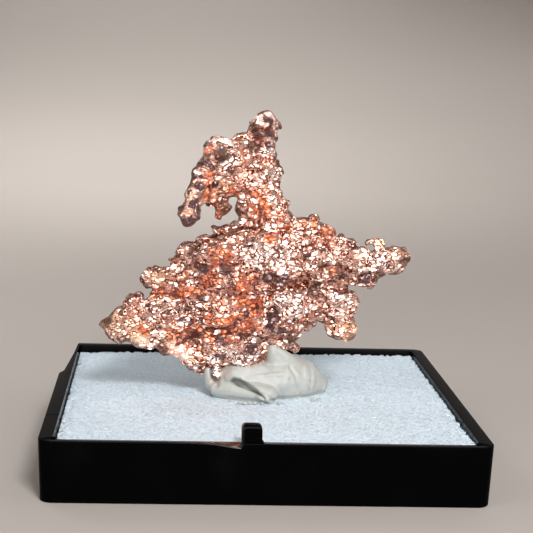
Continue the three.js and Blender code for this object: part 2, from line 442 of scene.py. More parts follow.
def new_group(name, inputs, outputs):
    """An empty shader node group with named sockets, each (name, kind, default)."""
    group = bpy.data.node_groups.new(name, "ShaderNodeTree")
    for label, kind, default in inputs:
        socket = group.interface.new_socket(label, in_out="INPUT", socket_type=kind)
        if default is not None:
            socket.default_value = default
    for label, kind in outputs:
        group.interface.new_socket(label, in_out="OUTPUT", socket_type=kind)
    return group, add(group, "NodeGroupInput").outputs, add(group, "NodeGroupOutput").inputs


def facets_group():
    """Small plane facets: each cell's own tilted normal and shade, its middle and its rim."""
    if "Facets" in bpy.data.node_groups:
        return bpy.data.node_groups["Facets"]
    group, given, out = new_group(
        "Facets",
        [
            ("Vector", "NodeSocketVector", None),
            ("Normal", "NodeSocketVector", None),
            ("Scale", "NodeSocketFloat", 1000.0),
            ("Tilt", "NodeSocketFloat", 0.5),
        ],
        [
            ("Normal", "NodeSocketVector"), ("Shade", "NodeSocketFloat"), ("Middle", "NodeSocketFloat"),
            ("Rim", "NodeSocketFloat"),
        ],
    )
    where = {"Vector": given["Vector"], "Scale": given["Scale"]}
    cells = add(group, "ShaderNodeTexVoronoi", where, feature="F1")
    rims = add(group, "ShaderNodeTexVoronoi", where, feature="DISTANCE_TO_EDGE")
    middle = add(
        group, "ShaderNodeVectorMath", {0: cells.outputs["Color"], 1: (0.5, 0.5, 0.5)}, operation="SUBTRACT"
    )
    tilt = add(
        group, "ShaderNodeVectorMath", {0: middle.outputs[0], "Scale": given["Tilt"]}, operation="SCALE"
    )
    leaning = add(group, "ShaderNodeVectorMath", {0: tilt.outputs[0], 1: given["Normal"]})
    unit = add(group, "ShaderNodeVectorMath", {0: leaning.outputs[0]}, operation="NORMALIZE")
    parts = add(group, "ShaderNodeSeparateColor", {"Color": cells.outputs["Color"]})
    group.links.new(unit.outputs[0], out["Normal"])
    group.links.new(parts.outputs[0], out["Shade"])
    group.links.new(cells.outputs["Distance"], out["Middle"])
    group.links.new(rims.outputs["Distance"], out["Rim"])
    return group


def mottle_group():
    """Cloudy variation: a mask from 0 to 1 and a fine height."""
    if "Mottle" in bpy.data.node_groups:
        return bpy.data.node_groups["Mottle"]
    group, given, out = new_group(
        "Mottle",
        [
            ("Vector", "NodeSocketVector", None),
            ("Scale", "NodeSocketFloat", 300.0),
            ("Low", "NodeSocketFloat", 0.35),
            ("High", "NodeSocketFloat", 0.65),
            ("Detail", "NodeSocketFloat", 4.0),
        ],
        [("Mask", "NodeSocketFloat"), ("Height", "NodeSocketFloat")],
    )
    clouds = add(
        group, "ShaderNodeTexNoise",
        {"Vector": given["Vector"], "Scale": given["Scale"], "Detail": given["Detail"]},
    )
    mask = add(
        group, "ShaderNodeMapRange",
        {"Value": clouds.outputs["Fac"], "From Min": given["Low"], "From Max": given["High"]},
    )
    group.links.new(mask.outputs["Result"], out["Mask"])
    group.links.new(clouds.outputs["Fac"], out["Height"])
    return group


def new_material(name):
    """A material with an empty Principled surface: it, its tree, the shader and Object coordinates."""
    material = bpy.data.materials.new(name)
    material.use_nodes = True
    tree = material.node_tree
    surface = tree.nodes["Principled BSDF"]
    place = add(tree, "ShaderNodeTexCoord").outputs["Object"]
    return material, tree, surface, place


def use_group(tree, group, inputs):
    """Places a node group in a tree; returns its outputs."""
    return add(tree, "ShaderNodeGroup", inputs, node_tree=group).outputs


def feed(tree, surface, **sockets):
    """Sets or links the shader's sockets, with underscores for spaces in their names."""
    for key, value in sockets.items():
        socket = surface.inputs[key.replace("_", " ")]
        if isinstance(value, bpy.types.NodeSocket):
            tree.links.new(value, socket)
        else:
            socket.default_value = value


# ---------------------------------------------------------------- nugget

FORM_VOXEL = 0.12  # grid of the broad form
ROD_LENGTH, ROD_SIDES = 12, 12  # the rods that cut the see-through holes
SLOT_PUSH, SLOT_REACH = 0.16, 0.7  # how far a slot's walls move apart, and how far away that is felt
# Half width of the painted red shade line along an overhanging crease.
LINE_SHADE_WIDTH = 0.18  # half width of the red line in an overhanging crease
FOOT_OF_FORM = 0.06  # the broad form is drawn in by this much, to leave room for the knobs
LUMP_CALM, KNOB_CALM, GRAIN_CALM = 0.85, 0.75, 0.8  # how much a smooth place flattens each size
# Overhanging creases: how far above its line a crease starts, how its ends fade, where the front
# ends, the heights under the line where the ledge begins and juts out, and its share close under it.
CREASE_START, CREASE_FADE, FRONT_Y = 1.1, 0.6, 0.3
LEDGE_STEPS, LEDGE_UNDER = (-2.2, -0.6, -0.3, 0), 0.8
# Half width of the painted red shade line in a trough.
LINE_SHADE_SHARE = 0.5  # half width of the red line in a trough, as a share of the trough's
PIT_SPREAD, BROWN_SPREAD = 1.5, 1.4  # how far a pit and a brown place reach past their radius
CREASE_SHAPE, KNOB_SHAPE = 1.5, 0.7  # over 1 is pointed at its middle, under 1 is blunt
# Rounded knobs: how steeply they rise from their creases, and the height at which they flatten.
KNOB_RISE, KNOB_TOP = 2.6, 1.2
# Size of each kind of bump in millimetres, and how much longer it is along x.
KNOB, GRAIN, FACET = (1.25, 1.5), (0.62, 1.3), (0.8, 1.5)
KNOB_SHIFT, KNOB_SLANT, GRAIN_SHIFT, GRAIN_SLANT = 3, 0.25, 5, -0.2  # where their patterns lie
FACET_SHARE = 1.1  # height of the facets against the knobs
CALM_GAIN = 1.5  # makes the smooth places' middles quite smooth
FRONT_GAIN = 1.6  # how soon a surface that faces the front counts as fully in front
# The painted side shade: how squarely a side may face the front and still get it, and how softly it fades.
SIDE_FROM, SIDE_FADE = 0.6, 0.5  # how squarely a side may face the front, and how softly that ends
HOLE_CALM = ((1.1, 1.0), (0.9, 0.7))  # round the holes: radius and share, for lumps and for knobs
CAVITY_PASSES = 6
PLATE_RUNS = (5, 55)  # the two directions, in degrees, that the crystal plates run in
PLATE_STRETCH = (0.7, 1, 1.1)
CHIPS, CHIP_TILT = 2.3, 0.32  # small chips on the plates: how many to a plate's width, and their lean
# Deep round pits on the front (y below zero) and the back: (x, y, z, radius), depth.
PITS = [
    ((-8.3, -1.9, 11.8, 0.42), 0.9),
    ((-1.65, -1.7, 21.6, 0.3), 0.9),
    ((-2.8, -2.6, 14.6, 0.5), 0.35),
    ((-2.2, -2.8, 12.4, 0.45), 0.35),
    ((-6.1, -2.3, 11.3, 0.5), 0.35),
    ((-5.8, -2.4, 10.3, 0.45), 0.3),
    ((5.2, -1.2, 17.2, 0.55), 0.4),
    ((-6.9, -1.8, 8.1, 0.16), 0.5),
    ((4.9, -1.3, 10.4, 0.4), 0.7),
    ((3.3, -2.0, 15.7, 0.45), 0.3),
    ((-5.85, -2.1, 18.7, 0.32), 0.45),
    ((0.35, -0.8, 22.8, 0.3), 0.4),
    ((1.1, 3.8, 13.2, 0.9), 0.8),
    ((-2.9, 3.6, 9.6, 0.7), 0.7),
    ((-0.6, 2.0, 22.3, 0.5), 0.6),
]

# Troughs and creases: points, half width, depth.
GROOVES = [
    ([(-1.5, -1.6, 20.9), (-0.8, -1.7, 20.0), (-0.2, -1.9, 19.2), (-0.3, -2.2, 17.4)], 0.42, 0.5),
    ([(-4.9, -1.6, 21.9), (-4.3, -1.5, 21.2), (-4.15, -1.2, 20.3), (-4.3, -1.1, 19.6)], 0.26, 0.4),
    ([(-0.3, -2.8, 11.6), (-2.3, -2.9, 9.9), (-4.3, -2.6, 9.5), (-6.2, -2.0, 8.3)], 0.8, 0.45),
    ([(3.2, -2.3, 16.2), (4.3, -2.0, 16.6)], 0.14, 0.7),
    ([(-3.1, -2.2, 16.8), (-2.0, -2.4, 16.4), (-0.9, -2.4, 16.3)], 0.16, 0.55),
    ([(-5.0, -2.3, 13.1), (-4.0, -2.6, 13.2), (-2.9, -2.8, 12.9)], 0.16, 0.4),
    ([(-3.6, -1.2, 17.7), (-3.1, -1.4, 17.1), (-2.3, -1.6, 17.1)], 0.12, 0.4),
    ([(0.6, -2.4, 11.1), (1.4, -2.6, 10.8), (2.0, -2.4, 10.1)], 0.14, 0.35),
]

# Overhanging creases: points, how deep the crease is, how far the ledge under it stands out.
LEDGES = [
    ([(-0.6, 0, 12.9), (0.6, 0, 12.75), (2.0, 0, 13.0), (3.8, 0, 13.2)], 0.9, 0.5),
    ([(5.0, 0, 13.0), (6.4, 0, 12.8), (7.6, 0, 12.7)], 0.6, 0.4),
    ([(-8.8, 0, 12.2), (-7.4, 0, 12.2), (-6.2, 0, 12.1)], 0.35, 0.3),
    ([(-3.9, 0, 9.3), (-2.4, 0, 9.4), (-0.9, 0, 9.4), (0.2, 0, 9.1)], 0.4, 0.45),
    ([(-4.6, 0, 16.4), (-3.4, 0, 16.9), (-2.2, 0, 17.5), (-0.8, 0, 17.7), (0.6, 0, 17.9)], 0.35, 0.3),
    ([(4.4, 0, 14.7), (6.0, 0, 14.8), (7.4, 0, 14.3)], 0.4, 0.3),
    ([(-5.0, 0, 14.9), (-3.4, 0, 14.7), (-1.9, 0, 14.9)], 0.3, 0.3),
    ([(3.2, 0, 16.1), (4.3, 0, 16.5), (5.4, 0, 16.2)], 0.45, 0.3),
    ([(-0.9, 0, 24.2), (0.2, 0, 24.4), (1.1, 0, 24.2)], 0.25, 0.12),
    ([(-1.1, 0, 25.2), (0.0, 0, 25.3), (1.2, 0, 25.2)], 0.2, 0.1),
]

# Joins between lobes that grow into each other, each (start, radius, end, radius).
JOINS = [
    ((-4.2, -0.3, 21.3), 0.6, (-4.15, -0.5, 19.85), 0.5),
    ((-2.35, 0.1, 20.6), 0.55, (-2.45, 0.1, 20.0), 0.45),
    ((-3.3, 0.1, 19.4), 0.62, (-3.35, 0.0, 18.85), 0.66),
    ((-1.45, 0.1, 19.4), 0.5, (-1.5, 0.0, 18.6), 0.55),
    ((-3.1, -0.9, 7.0), 0.75, (-3.4, -1.3, 6.0), 0.42),
]

# Slots that part the hanging fingers from the arm, the neck and the body, seen from the front.
SLOTS = [
    [(-4.4, 18.15), (-3.6, 18.1), (-2.7, 18.1), (-2.4, 18.6), (-2.4, 19.45)],
    [(-2.75, 18.0), (-2.4, 18.55), (-2.35, 19.45)],
]

# See-through holes: a point in the hole, its half sizes across and up, its lean and turn in degrees.
HOLES = [
    ((-3.75, -0.4, 21.0), (0.22, 0.22), (-8, -2)),
    ((8.88, 1.0, 16.0), (0.34, 0.28), (-8, -8)),
]

# Knobs (raised) and notches (sunk) seen from the front: (x, z, radius, height).
KNOBS = [
    (0.1, 26.4, 0.6, 0.2), (-11.0, 11.1, 1.2, 0.4), (-12.2, 10.1, 0.5, -0.15), (-6.4, 18.9, 0.7, 0.2),
    (-5.6, 22.3, 0.7, 0.22), (-5.0, 23.6, 0.6, 0.18), (-3.4, 24.8, 1.0, 0.18), (-3.4, 18.6, 0.5, 0.3),
    (-3.9, 17.6, 0.7, 0.25), (-6.0, 15.8, 0.9, 0.25), (3.0, 9.0, 0.7, 0.25), (2.2, 19.6, 0.9, 0.2),
    (-0.8, 25.6, 0.6, 0.14), (0.9, 25.3, 0.4, 0.12), (1.2, 22.1, 0.6, 0.2), (-5.9, 18.75, 1.0, 0.14),
    (4.1, 18.3, 0.7, 0.2), (5.4, 17.5, 0.7, 0.2), (6.4, 16.8, 0.5, 0.2), (7.45, 16.7, 0.5, 0.25),
    (9.4, 16.7, 0.9, 0.14), (11.4, 15.6, 0.9, 0.16), (8.7, 13.2, 0.8, 0.14), (-9.7, 11.9, 0.6, 0.16),
    (-9.5, 8.2, 0.9, 0.16), (-7.1, 7.6, 0.9, 0.18), (-5.5, 6.5, 0.8, 0.14), (-7.2, 14.8, 0.4, 0.22),
    (4.85, 18.15, 0.3, -0.25), (2.9, 18.75, 0.35, -0.2), (6.95, 16.95, 0.3, -0.25),
    (10.35, 16.25, 0.4, -0.3), (-8.15, 7.9, 0.3, -0.25), (-9.05, 11.75, 0.35, -0.25),
    (-6.5, 19.6, 0.5, -0.2), (-4.7, 19.3, 0.4, -0.16), (1.15, 23.1, 0.4, -0.14), (7.95, 12.8, 0.4, -0.06),
    (8.15, 16.4, 0.3, -0.2), (-7.75, 14.35, 0.3, -0.15),
]

# Places with their own look, each (x, y, z, radius): stained orange, filmed with mauve or brown tarnish
# mixed with painted shade, golden and granular, lit with a painted highlight, and with a smooth skin.
ORANGE_SPOTS = [
    (-2.3, -2.4, 10.0, 1.7), (-1.0, -2.4, 10.4, 1.5), (-0.4, -2.4, 11.5, 1.2), (-1.6, -2.5, 11.9, 1.1),
    (-3.6, -2.4, 10.6, 1.0), (-4.6, -2.2, 9.3, 1.4), (-5.8, -1.9, 8.7, 1.6), (-6.8, -1.9, 9.4, 1.0),
    (-5.1, -2.0, 7.7, 1.0), (-4.2, -2.4, 13.6, 1.3), (-3.2, -2.3, 15.4, 1.3), (-1.2, -2.6, 13.4, 1.1),
    (-7.9, -1.3, 12.6, 1.2), (-6.5, -1.6, 12.5, 1.4), (-5.2, -2.0, 12.6, 0.9), (-0.3, -1.9, 19.4, 1.4),
    (-0.9, -1.6, 20.4, 0.9), (-0.6, -2.0, 18.3, 1.1), (5.3, -1.0, 17.4, 1.2), (4.1, -1.2, 18.2, 0.9),
    (2.5, -1.6, 17.7, 1.0), (1.5, -1.7, 18.8, 0.8), (-4.2, -1.4, 21.5, 0.9), (-3.4, -0.8, 18.7, 1.2),
    (9.3, 0.4, 16.5, 0.8), (-4.4, -1.0, 23.5, 0.8), (-4.2, -1.0, 20.6, 0.7), (-4.2, -1.0, 19.9, 0.6),
    (-2.4, -1.2, 20.1, 0.8), (-1.5, -1.4, 23.2, 0.7),
    (5.6, -1.4, 14.5, 0.8), (3.7, -2.2, 16.4, 0.6), (-9.0, -2.0, 9.5, 0.8), (0.4, -2.8, 12.9, 0.9),
    (-10.4, -1.6, 10.9, 0.6), (0.5, -1.9, 16.9, 0.7), (3.6, -2.0, 10.2, 0.7), (-4.3, -1.8, 6.4, 0.8),
    (-1.4, 3.2, 12.0, 1.8), (2.6, 3.0, 14.8, 1.4), (-4.4, 2.4, 9.6, 1.2), (-0.4, 2.0, 19.6, 1.0),
]
# Tarnish mixed with painted shade: the dark patches under the arch's hook, in the pits and along the arm's
# edges.
TARNISH_AND_SHADE_SPOTS = [
    (-2.8, -2.6, 14.6, 0.9), (-2.2, -2.8, 12.4, 0.8), (-6.1, -2.3, 11.3, 0.8), (-5.8, -2.4, 10.4, 0.9),
    (-4.6, -2.5, 12.3, 0.6), (-4.5, -2.3, 14.4, 0.7), (-5.7, -1.9, 14.3, 1.0), (0.6, -2.8, 13.8, 1.1),
    (1.6, -2.8, 13.6, 1.0), (3.3, -2.2, 15.7, 0.9), (5.0, -1.6, 16.3, 0.6), (-1.4, -2.4, 16.2, 0.6),
    (-3.0, -2.2, 7.5, 0.7), (-3.1, -2.2, 8.8, 0.7), (-0.6, -2.3, 8.3, 0.7), (-1.3, -2.5, 9.3, 0.5),
    (1.0, -2.5, 10.8, 0.8), (0.8, -2.4, 10.1, 0.6), (1.7, -2.3, 9.7, 0.6), (-4.5, -2.4, 10.2, 0.5),
    (5.5, -1.6, 13.4, 0.6), (8.5, -0.4, 13.6, 0.8), (0.1, -0.7, 25.7, 0.9), (-0.7, -0.4, 25.7, 0.6),
    (-4.3, -1.3, 22.6, 0.8), (-4.7, -0.8, 24.1, 0.6), (-4.8, -1.7, 19.0, 0.6), (-6.3, -1.7, 18.0, 0.5),
    (-9.6, -0.8, 12.0, 0.5), (-3.4, -1.5, 23.7, 0.5), (1.3, -2.4, 9.0, 0.7),
    (-4.9, -1.7, 18.9, 0.9), (-5.2, -1.7, 18.0, 1.0), (-6.6, -1.6, 19.0, 0.7), (-6.0, -1.6, 17.7, 1.0),
    (-5.9, -1.1, 21.9, 1.1), (-5.7, -1.0, 23.2, 1.2), (0.9, -0.6, 25.6, 1.0), (0.5, -0.7, 24.9, 0.8),
    (-4.4, -1.6, 23.9, 0.8), (-0.6, -0.8, 23.9, 0.6), (-6.1, -1.7, 20.1, 0.8), (0.8, -0.9, 23.0, 0.6),
    (-0.7, -0.7, 24.6, 0.7), (-4.6, -1.3, 22.6, 0.9), (-4.9, -1.7, 20.9, 0.7), (-5.9, -1.6, 20.6, 0.7),
    (-5.2, -1.2, 21.6, 0.8), (-5.3, -1.1, 22.4, 0.8), (-3.8, -1.1, 24.9, 0.7), (-2.2, -1.0, 25.0, 0.5),
    (-5.4, -1.8, 19.5, 0.7), (0.2, -0.8, 26.2, 0.5), (0.3, -0.8, 24.2, 0.6), (-2.9, -1.2, 22.9, 0.6),
    (-2.3, 3.4, 14.9, 1.5), (3.0, 3.0, 11.6, 1.2), (-7.0, 1.2, 10.4, 1.0), (0.4, 1.6, 24.0, 0.8),
]
# Places that carry the brown rind, brown film mixed with painted shade, on the front as well, seen from the
# front: (x, z, radius).
BROWN_SPOTS = [
    (-6.3, 21.2, 0.8), (-6.2, 22.3, 0.8), (-5.6, 23.6, 0.9), (-4.6, 24.8, 0.8), (-6.8, 19.2, 0.7),
    (-6.4, 17.9, 0.8), (-5.3, 17.8, 0.7), (-4.8, 18.8, 0.7), (-5.0, 20.0, 0.5), (-4.7, 22.6, 0.9),
    (-3.4, 23.4, 0.8), (-2.6, 22.2, 0.5), (1.1, 25.6, 0.5), (1.2, 24.2, 0.5), (-0.9, 25.4, 0.6),
    (-0.8, 24.0, 0.7), (0.2, 24.9, 0.5), (1.5, 22.4, 0.5), (-3.0, 19.2, 0.8), (-12.0, 10.2, 0.6),
    (-10.6, 8.7, 0.6), (11.8, 14.8, 0.6), (9.6, 13.6, 0.7), (8.9, 10.4, 0.6), (7.4, 9.0, 0.6),
    (4.3, 12.9, 0.7), (6.2, 14.2, 0.7), (-7.6, 8.0, 0.6), (-8.4, 14.2, 0.5), (2.6, 8.8, 0.6),
]
GOLD_SPOTS = [
    (-11.2, -1.5, 10.2, 1.8), (-9.6, -1.6, 9.4, 1.6), (-7.9, -0.6, 13.3, 1.2), (-6.9, -1.8, 8.6, 1.2),
    (-5.3, -1.9, 7.0, 1.0), (-5.75, -2.1, 18.75, 0.5), (-3.6, -1.2, 20.6, 1.1), (-2.7, -1.4, 20.5, 0.8),
    (11.2, 1.0, 15.4, 1.0), (9.4, 1.0, 16.5, 0.8), (-5.9, -1.6, 20.0, 0.7), (7.0, -1.6, 9.6, 1.6),
]
# Painted highlights and reflections: paler copper where the metal catches the light, and on the underside
# where it mirrors the white foam.
PAINTED_HIGHLIGHT_SPOTS = [
    (1.6, -2.6, 12.3, 1.3), (3.0, -2.4, 12.0, 1.3), (4.2, -2.2, 11.4, 1.0), (6.3, -1.8, 12.3, 1.4),
    (8.3, -0.2, 14.8, 1.1), (9.4, 0.4, 15.2, 1.2), (0.0, -2.6, 15.4, 1.3), (1.6, -2.6, 15.0, 1.2),
    (-1.0, -2.4, 16.8, 1.0), (1.9, -2.2, 16.2, 1.0), (0.9, -0.6, 21.6, 1.0), (0.5, -0.6, 23.6, 0.8),
    (0.8, -1.4, 19.6, 1.0), (-7.0, -1.8, 11.5, 0.9), (-3.4, -1.6, 7.0, 1.2), (-1.4, -2.0, 6.9, 1.3),
    (-2.2, -2.0, 7.8, 1.2), (0.2, -2.0, 7.6, 1.3), (-0.4, -2.2, 9.0, 0.9), (-4.3, -1.8, 7.6, 1.0),
    (6.4, -0.6, 16.8, 0.6), (7.5, -0.2, 16.7, 0.5), (-2.6, -1.2, 24.6, 0.9), (5.4, -1.8, 15.3, 0.9),
]
SMOOTH_SPOTS = [
    (-3.4, -1.0, 24.2, 1.3), (-4.6, -1.0, 23.4, 1.1), (-4.9, -1.0, 21.6, 1.2), (-5.3, -1.6, 20.2, 1.2),
    (-5.7, -1.7, 18.4, 1.4), (0.1, 0.2, 26.2, 1.4), (0.2, 0.0, 24.8, 1.0), (7.2, -1.2, 9.4, 0.9),
    (-9.6, -1.2, 8.7, 1.4), (-11.4, -1.0, 9.5, 1.0), (10.2, 1.0, 13.9, 1.2), (-6.2, -0.8, 7.6, 1.2),
]


def ledge_rise(places, line, depth, lip):
    """Height of an overhanging crease: sinks towards the line from above and juts out under it."""
    line = np.array(line)
    x, z = places[:, 0], places[:, 2]
    above = z - np.interp(x, line[:, 0], line[:, 2])
    ends = np.clip(np.minimum(x - line[0, 0], line[-1, 0] - x) / CREASE_FADE, 0, 1)
    sink = -depth * np.clip(1 - above / CREASE_START, 0, 1) ** CREASE_SHAPE * (above >= 0)
    jut = np.interp(above, LEDGE_STEPS, (0, lip, lip * LEDGE_UNDER, -depth)) * (above < 0)
    return (sink + jut) * ends * (places[:, 1] < FRONT_Y)


def line_shade_mask(places):
    """How close every place on the front lies to a crease or trough line, where a red line of shade is
    painted.
    """
    flat = places * (1, 0, 1)
    lines = [(line, LINE_SHADE_WIDTH) for line, _, _ in LEDGES]
    lines += [([(x, 0, z) for x, _, z in line], LINE_SHADE_SHARE * width) for line, width, _ in GROOVES]
    mask = np.zeros(len(places))
    for line, width in lines:
        mask = np.maximum(mask, np.clip(1 - line_distance(flat, line) / width, 0, 1))
    return mask * (places[:, 1] < 0)


def part_slots(bm):
    """Opens the slots between the fingers by pushing their walls apart."""
    for vert in bm.verts:
        here = Vector((vert.co.x, vert.co.z))
        for line in SLOTS:
            for start, end in zip(line, line[1:]):
                start, run = Vector(start), Vector(end) - Vector(start)
                along = min(max((here - start).dot(run) / run.dot(run), 0), 1)
                away = here - start - run * along
                gap = SLOT_PUSH * max(0, 1 - away.length / SLOT_REACH)
                if gap and away.length > 1e-4:
                    here += away.normalized() * gap
        vert.co = Vector((here.x, vert.co.y, here.y))


def billow(point, size, stretch):
    """Rounded knobs with sharp creases between them, 0 in a crease and about 1 on a knob."""
    x, y, z = point
    return min(KNOB_RISE * abs(noise.noise(Vector((x / (size * stretch), y / size, z / size)))), KNOB_TOP)


def lumpiness(x, y, z):
    """The broad form's height at a point: long swells, slanting folds and lumps on them."""
    swell = noise.noise(Vector((x * 0.5, y * 0.8, z * 0.9)))
    fold = 0.3 - abs(noise.noise(Vector((x * 0.55 + 7, y * 0.8, z * 1.15 + 0.25 * x))))
    lump = noise.noise(Vector((x * 1.1, y * 1.5, z * 1.7)))
    return swell + 0.9 * fold + 0.6 * lump


def hole_rods():
    """Rods along the see-through holes."""
    rods = bmesh.new()
    lying = Matrix.Rotation(math.radians(90), 4, "X")
    for centre, (half_width, half_height), (lean, turn) in HOLES:
        rod = bmesh.ops.create_cone(
            rods, cap_ends=True, segments=ROD_SIDES, radius1=1, radius2=1, depth=ROD_LENGTH, matrix=lying
        )["verts"]
        bmesh.ops.scale(rods, verts=rod, vec=(half_width, 1, half_height))
        aim = Euler((math.radians(lean), 0, math.radians(turn))).to_matrix()
        bmesh.ops.rotate(rods, verts=rod, matrix=aim)
        bmesh.ops.translate(rods, verts=rod, vec=centre)
    return rods


def nugget_form(settings):
    """The nugget's broad form: the frame's lobes joined, lumpy, with pits, creases and ledges."""
    bm = merged_copy("nugget")
    part_slots(bm)
    for start, start_radius, end, end_radius in JOINS:
        lobe(bm, start, start_radius, end, end_radius, 3)
    bm = remeshed(bm, FORM_VOXEL)
    bm = combined(bm, hole_rods(), "DIFFERENCE", grid_of(FORM_VOXEL))
    smooth(bm, 3)
    places, normals = points_of(bm)
    calm = 1 - LUMP_CALM * spot_mask(places, SMOOTH_SPOTS)
    lumps = np.array([lumpiness(*place) for place in places])
    rise = mm(settings.lump_height) * calm * lumps - FOOT_OF_FORM
    for (x, y, z, radius), depth in PITS:
        rise -= depth * spot_mask(places, [(x, y, z, radius * PIT_SPREAD)])
    for line, half_width, depth in GROOVES:
        across = line_distance(places, line) / (half_width * LINE_SPREAD)
        rise -= depth * np.clip(1 - across, 0, 1) ** CREASE_SHAPE
    front = facing_front(normals, FRONT_GAIN)
    for line, depth, lip in LEDGES:
        rise += ledge_rise(places, line, depth, lip) * front
    for x, z, radius, height in KNOBS:
        off = np.hypot(places[:, 0] - x, places[:, 2] - z) / radius
        rise += height * np.clip(1 - off, 0, 1) ** KNOB_SHAPE
    rise = np.where(rise > 0, rise * by_the_holes(places, *HOLE_CALM[0]), rise)
    place_points(bm, places + normals * rise[:, None])
    return bm


def by_the_holes(places, radius, share):
    """A factor that keeps bumps out of the holes: 1 away from them, less by the share inside."""
    return 1 - share * spot_mask(places, [(*centre, radius) for centre, _, _ in HOLES])


def crystal_surface(settings):
    """The finished surface, knobs with sharp creases and tilted facets on the broad form.

    Returns it with the broad form's places and normals and the height of the bumps on it.
    """
    bm = remeshed(nugget_form(settings), mm(settings.voxel))
    smooth(bm, 1)
    places, normals = points_of(bm)
    calm = np.clip(CALM_GAIN * spot_mask(places, SMOOTH_SPOTS), 0, 1)
    knob_height, grain_height = mm(settings.knob_height), mm(settings.grain_height)
    height = []
    for (x, y, z), quiet in zip(places, calm):
        slanted = (x + KNOB_SHIFT, y, z + KNOB_SLANT * x)
        knob = billow(slanted, *KNOB) - 0.5
        grain = billow((x, y + GRAIN_SHIFT, z + GRAIN_SLANT * x), *GRAIN) - 0.5
        facet = FACET_SHARE * facet_height(slanted, *FACET)
        height.append(
            knob_height * (knob + facet) * (1 - KNOB_CALM * quiet)
            + grain_height * grain * (1 - GRAIN_CALM * quiet)
        )
    height = np.array(height) * by_the_holes(places, *HOLE_CALM[1])
    place_points(bm, places + normals * height[:, None])
    smooth(bm, 1, 0.3)
    return bm, places, normals, height


def cavity_of(bm, times):
    """How far each vertex lies under its smoothed surroundings, in millimetres."""
    before, normals = points_of(bm)
    relaxed = bm.copy()
    smooth(relaxed, times)
    after = np.array([v.co for v in relaxed.verts])
    relaxed.free()
    return ((after - before) * normals).sum(axis=1)


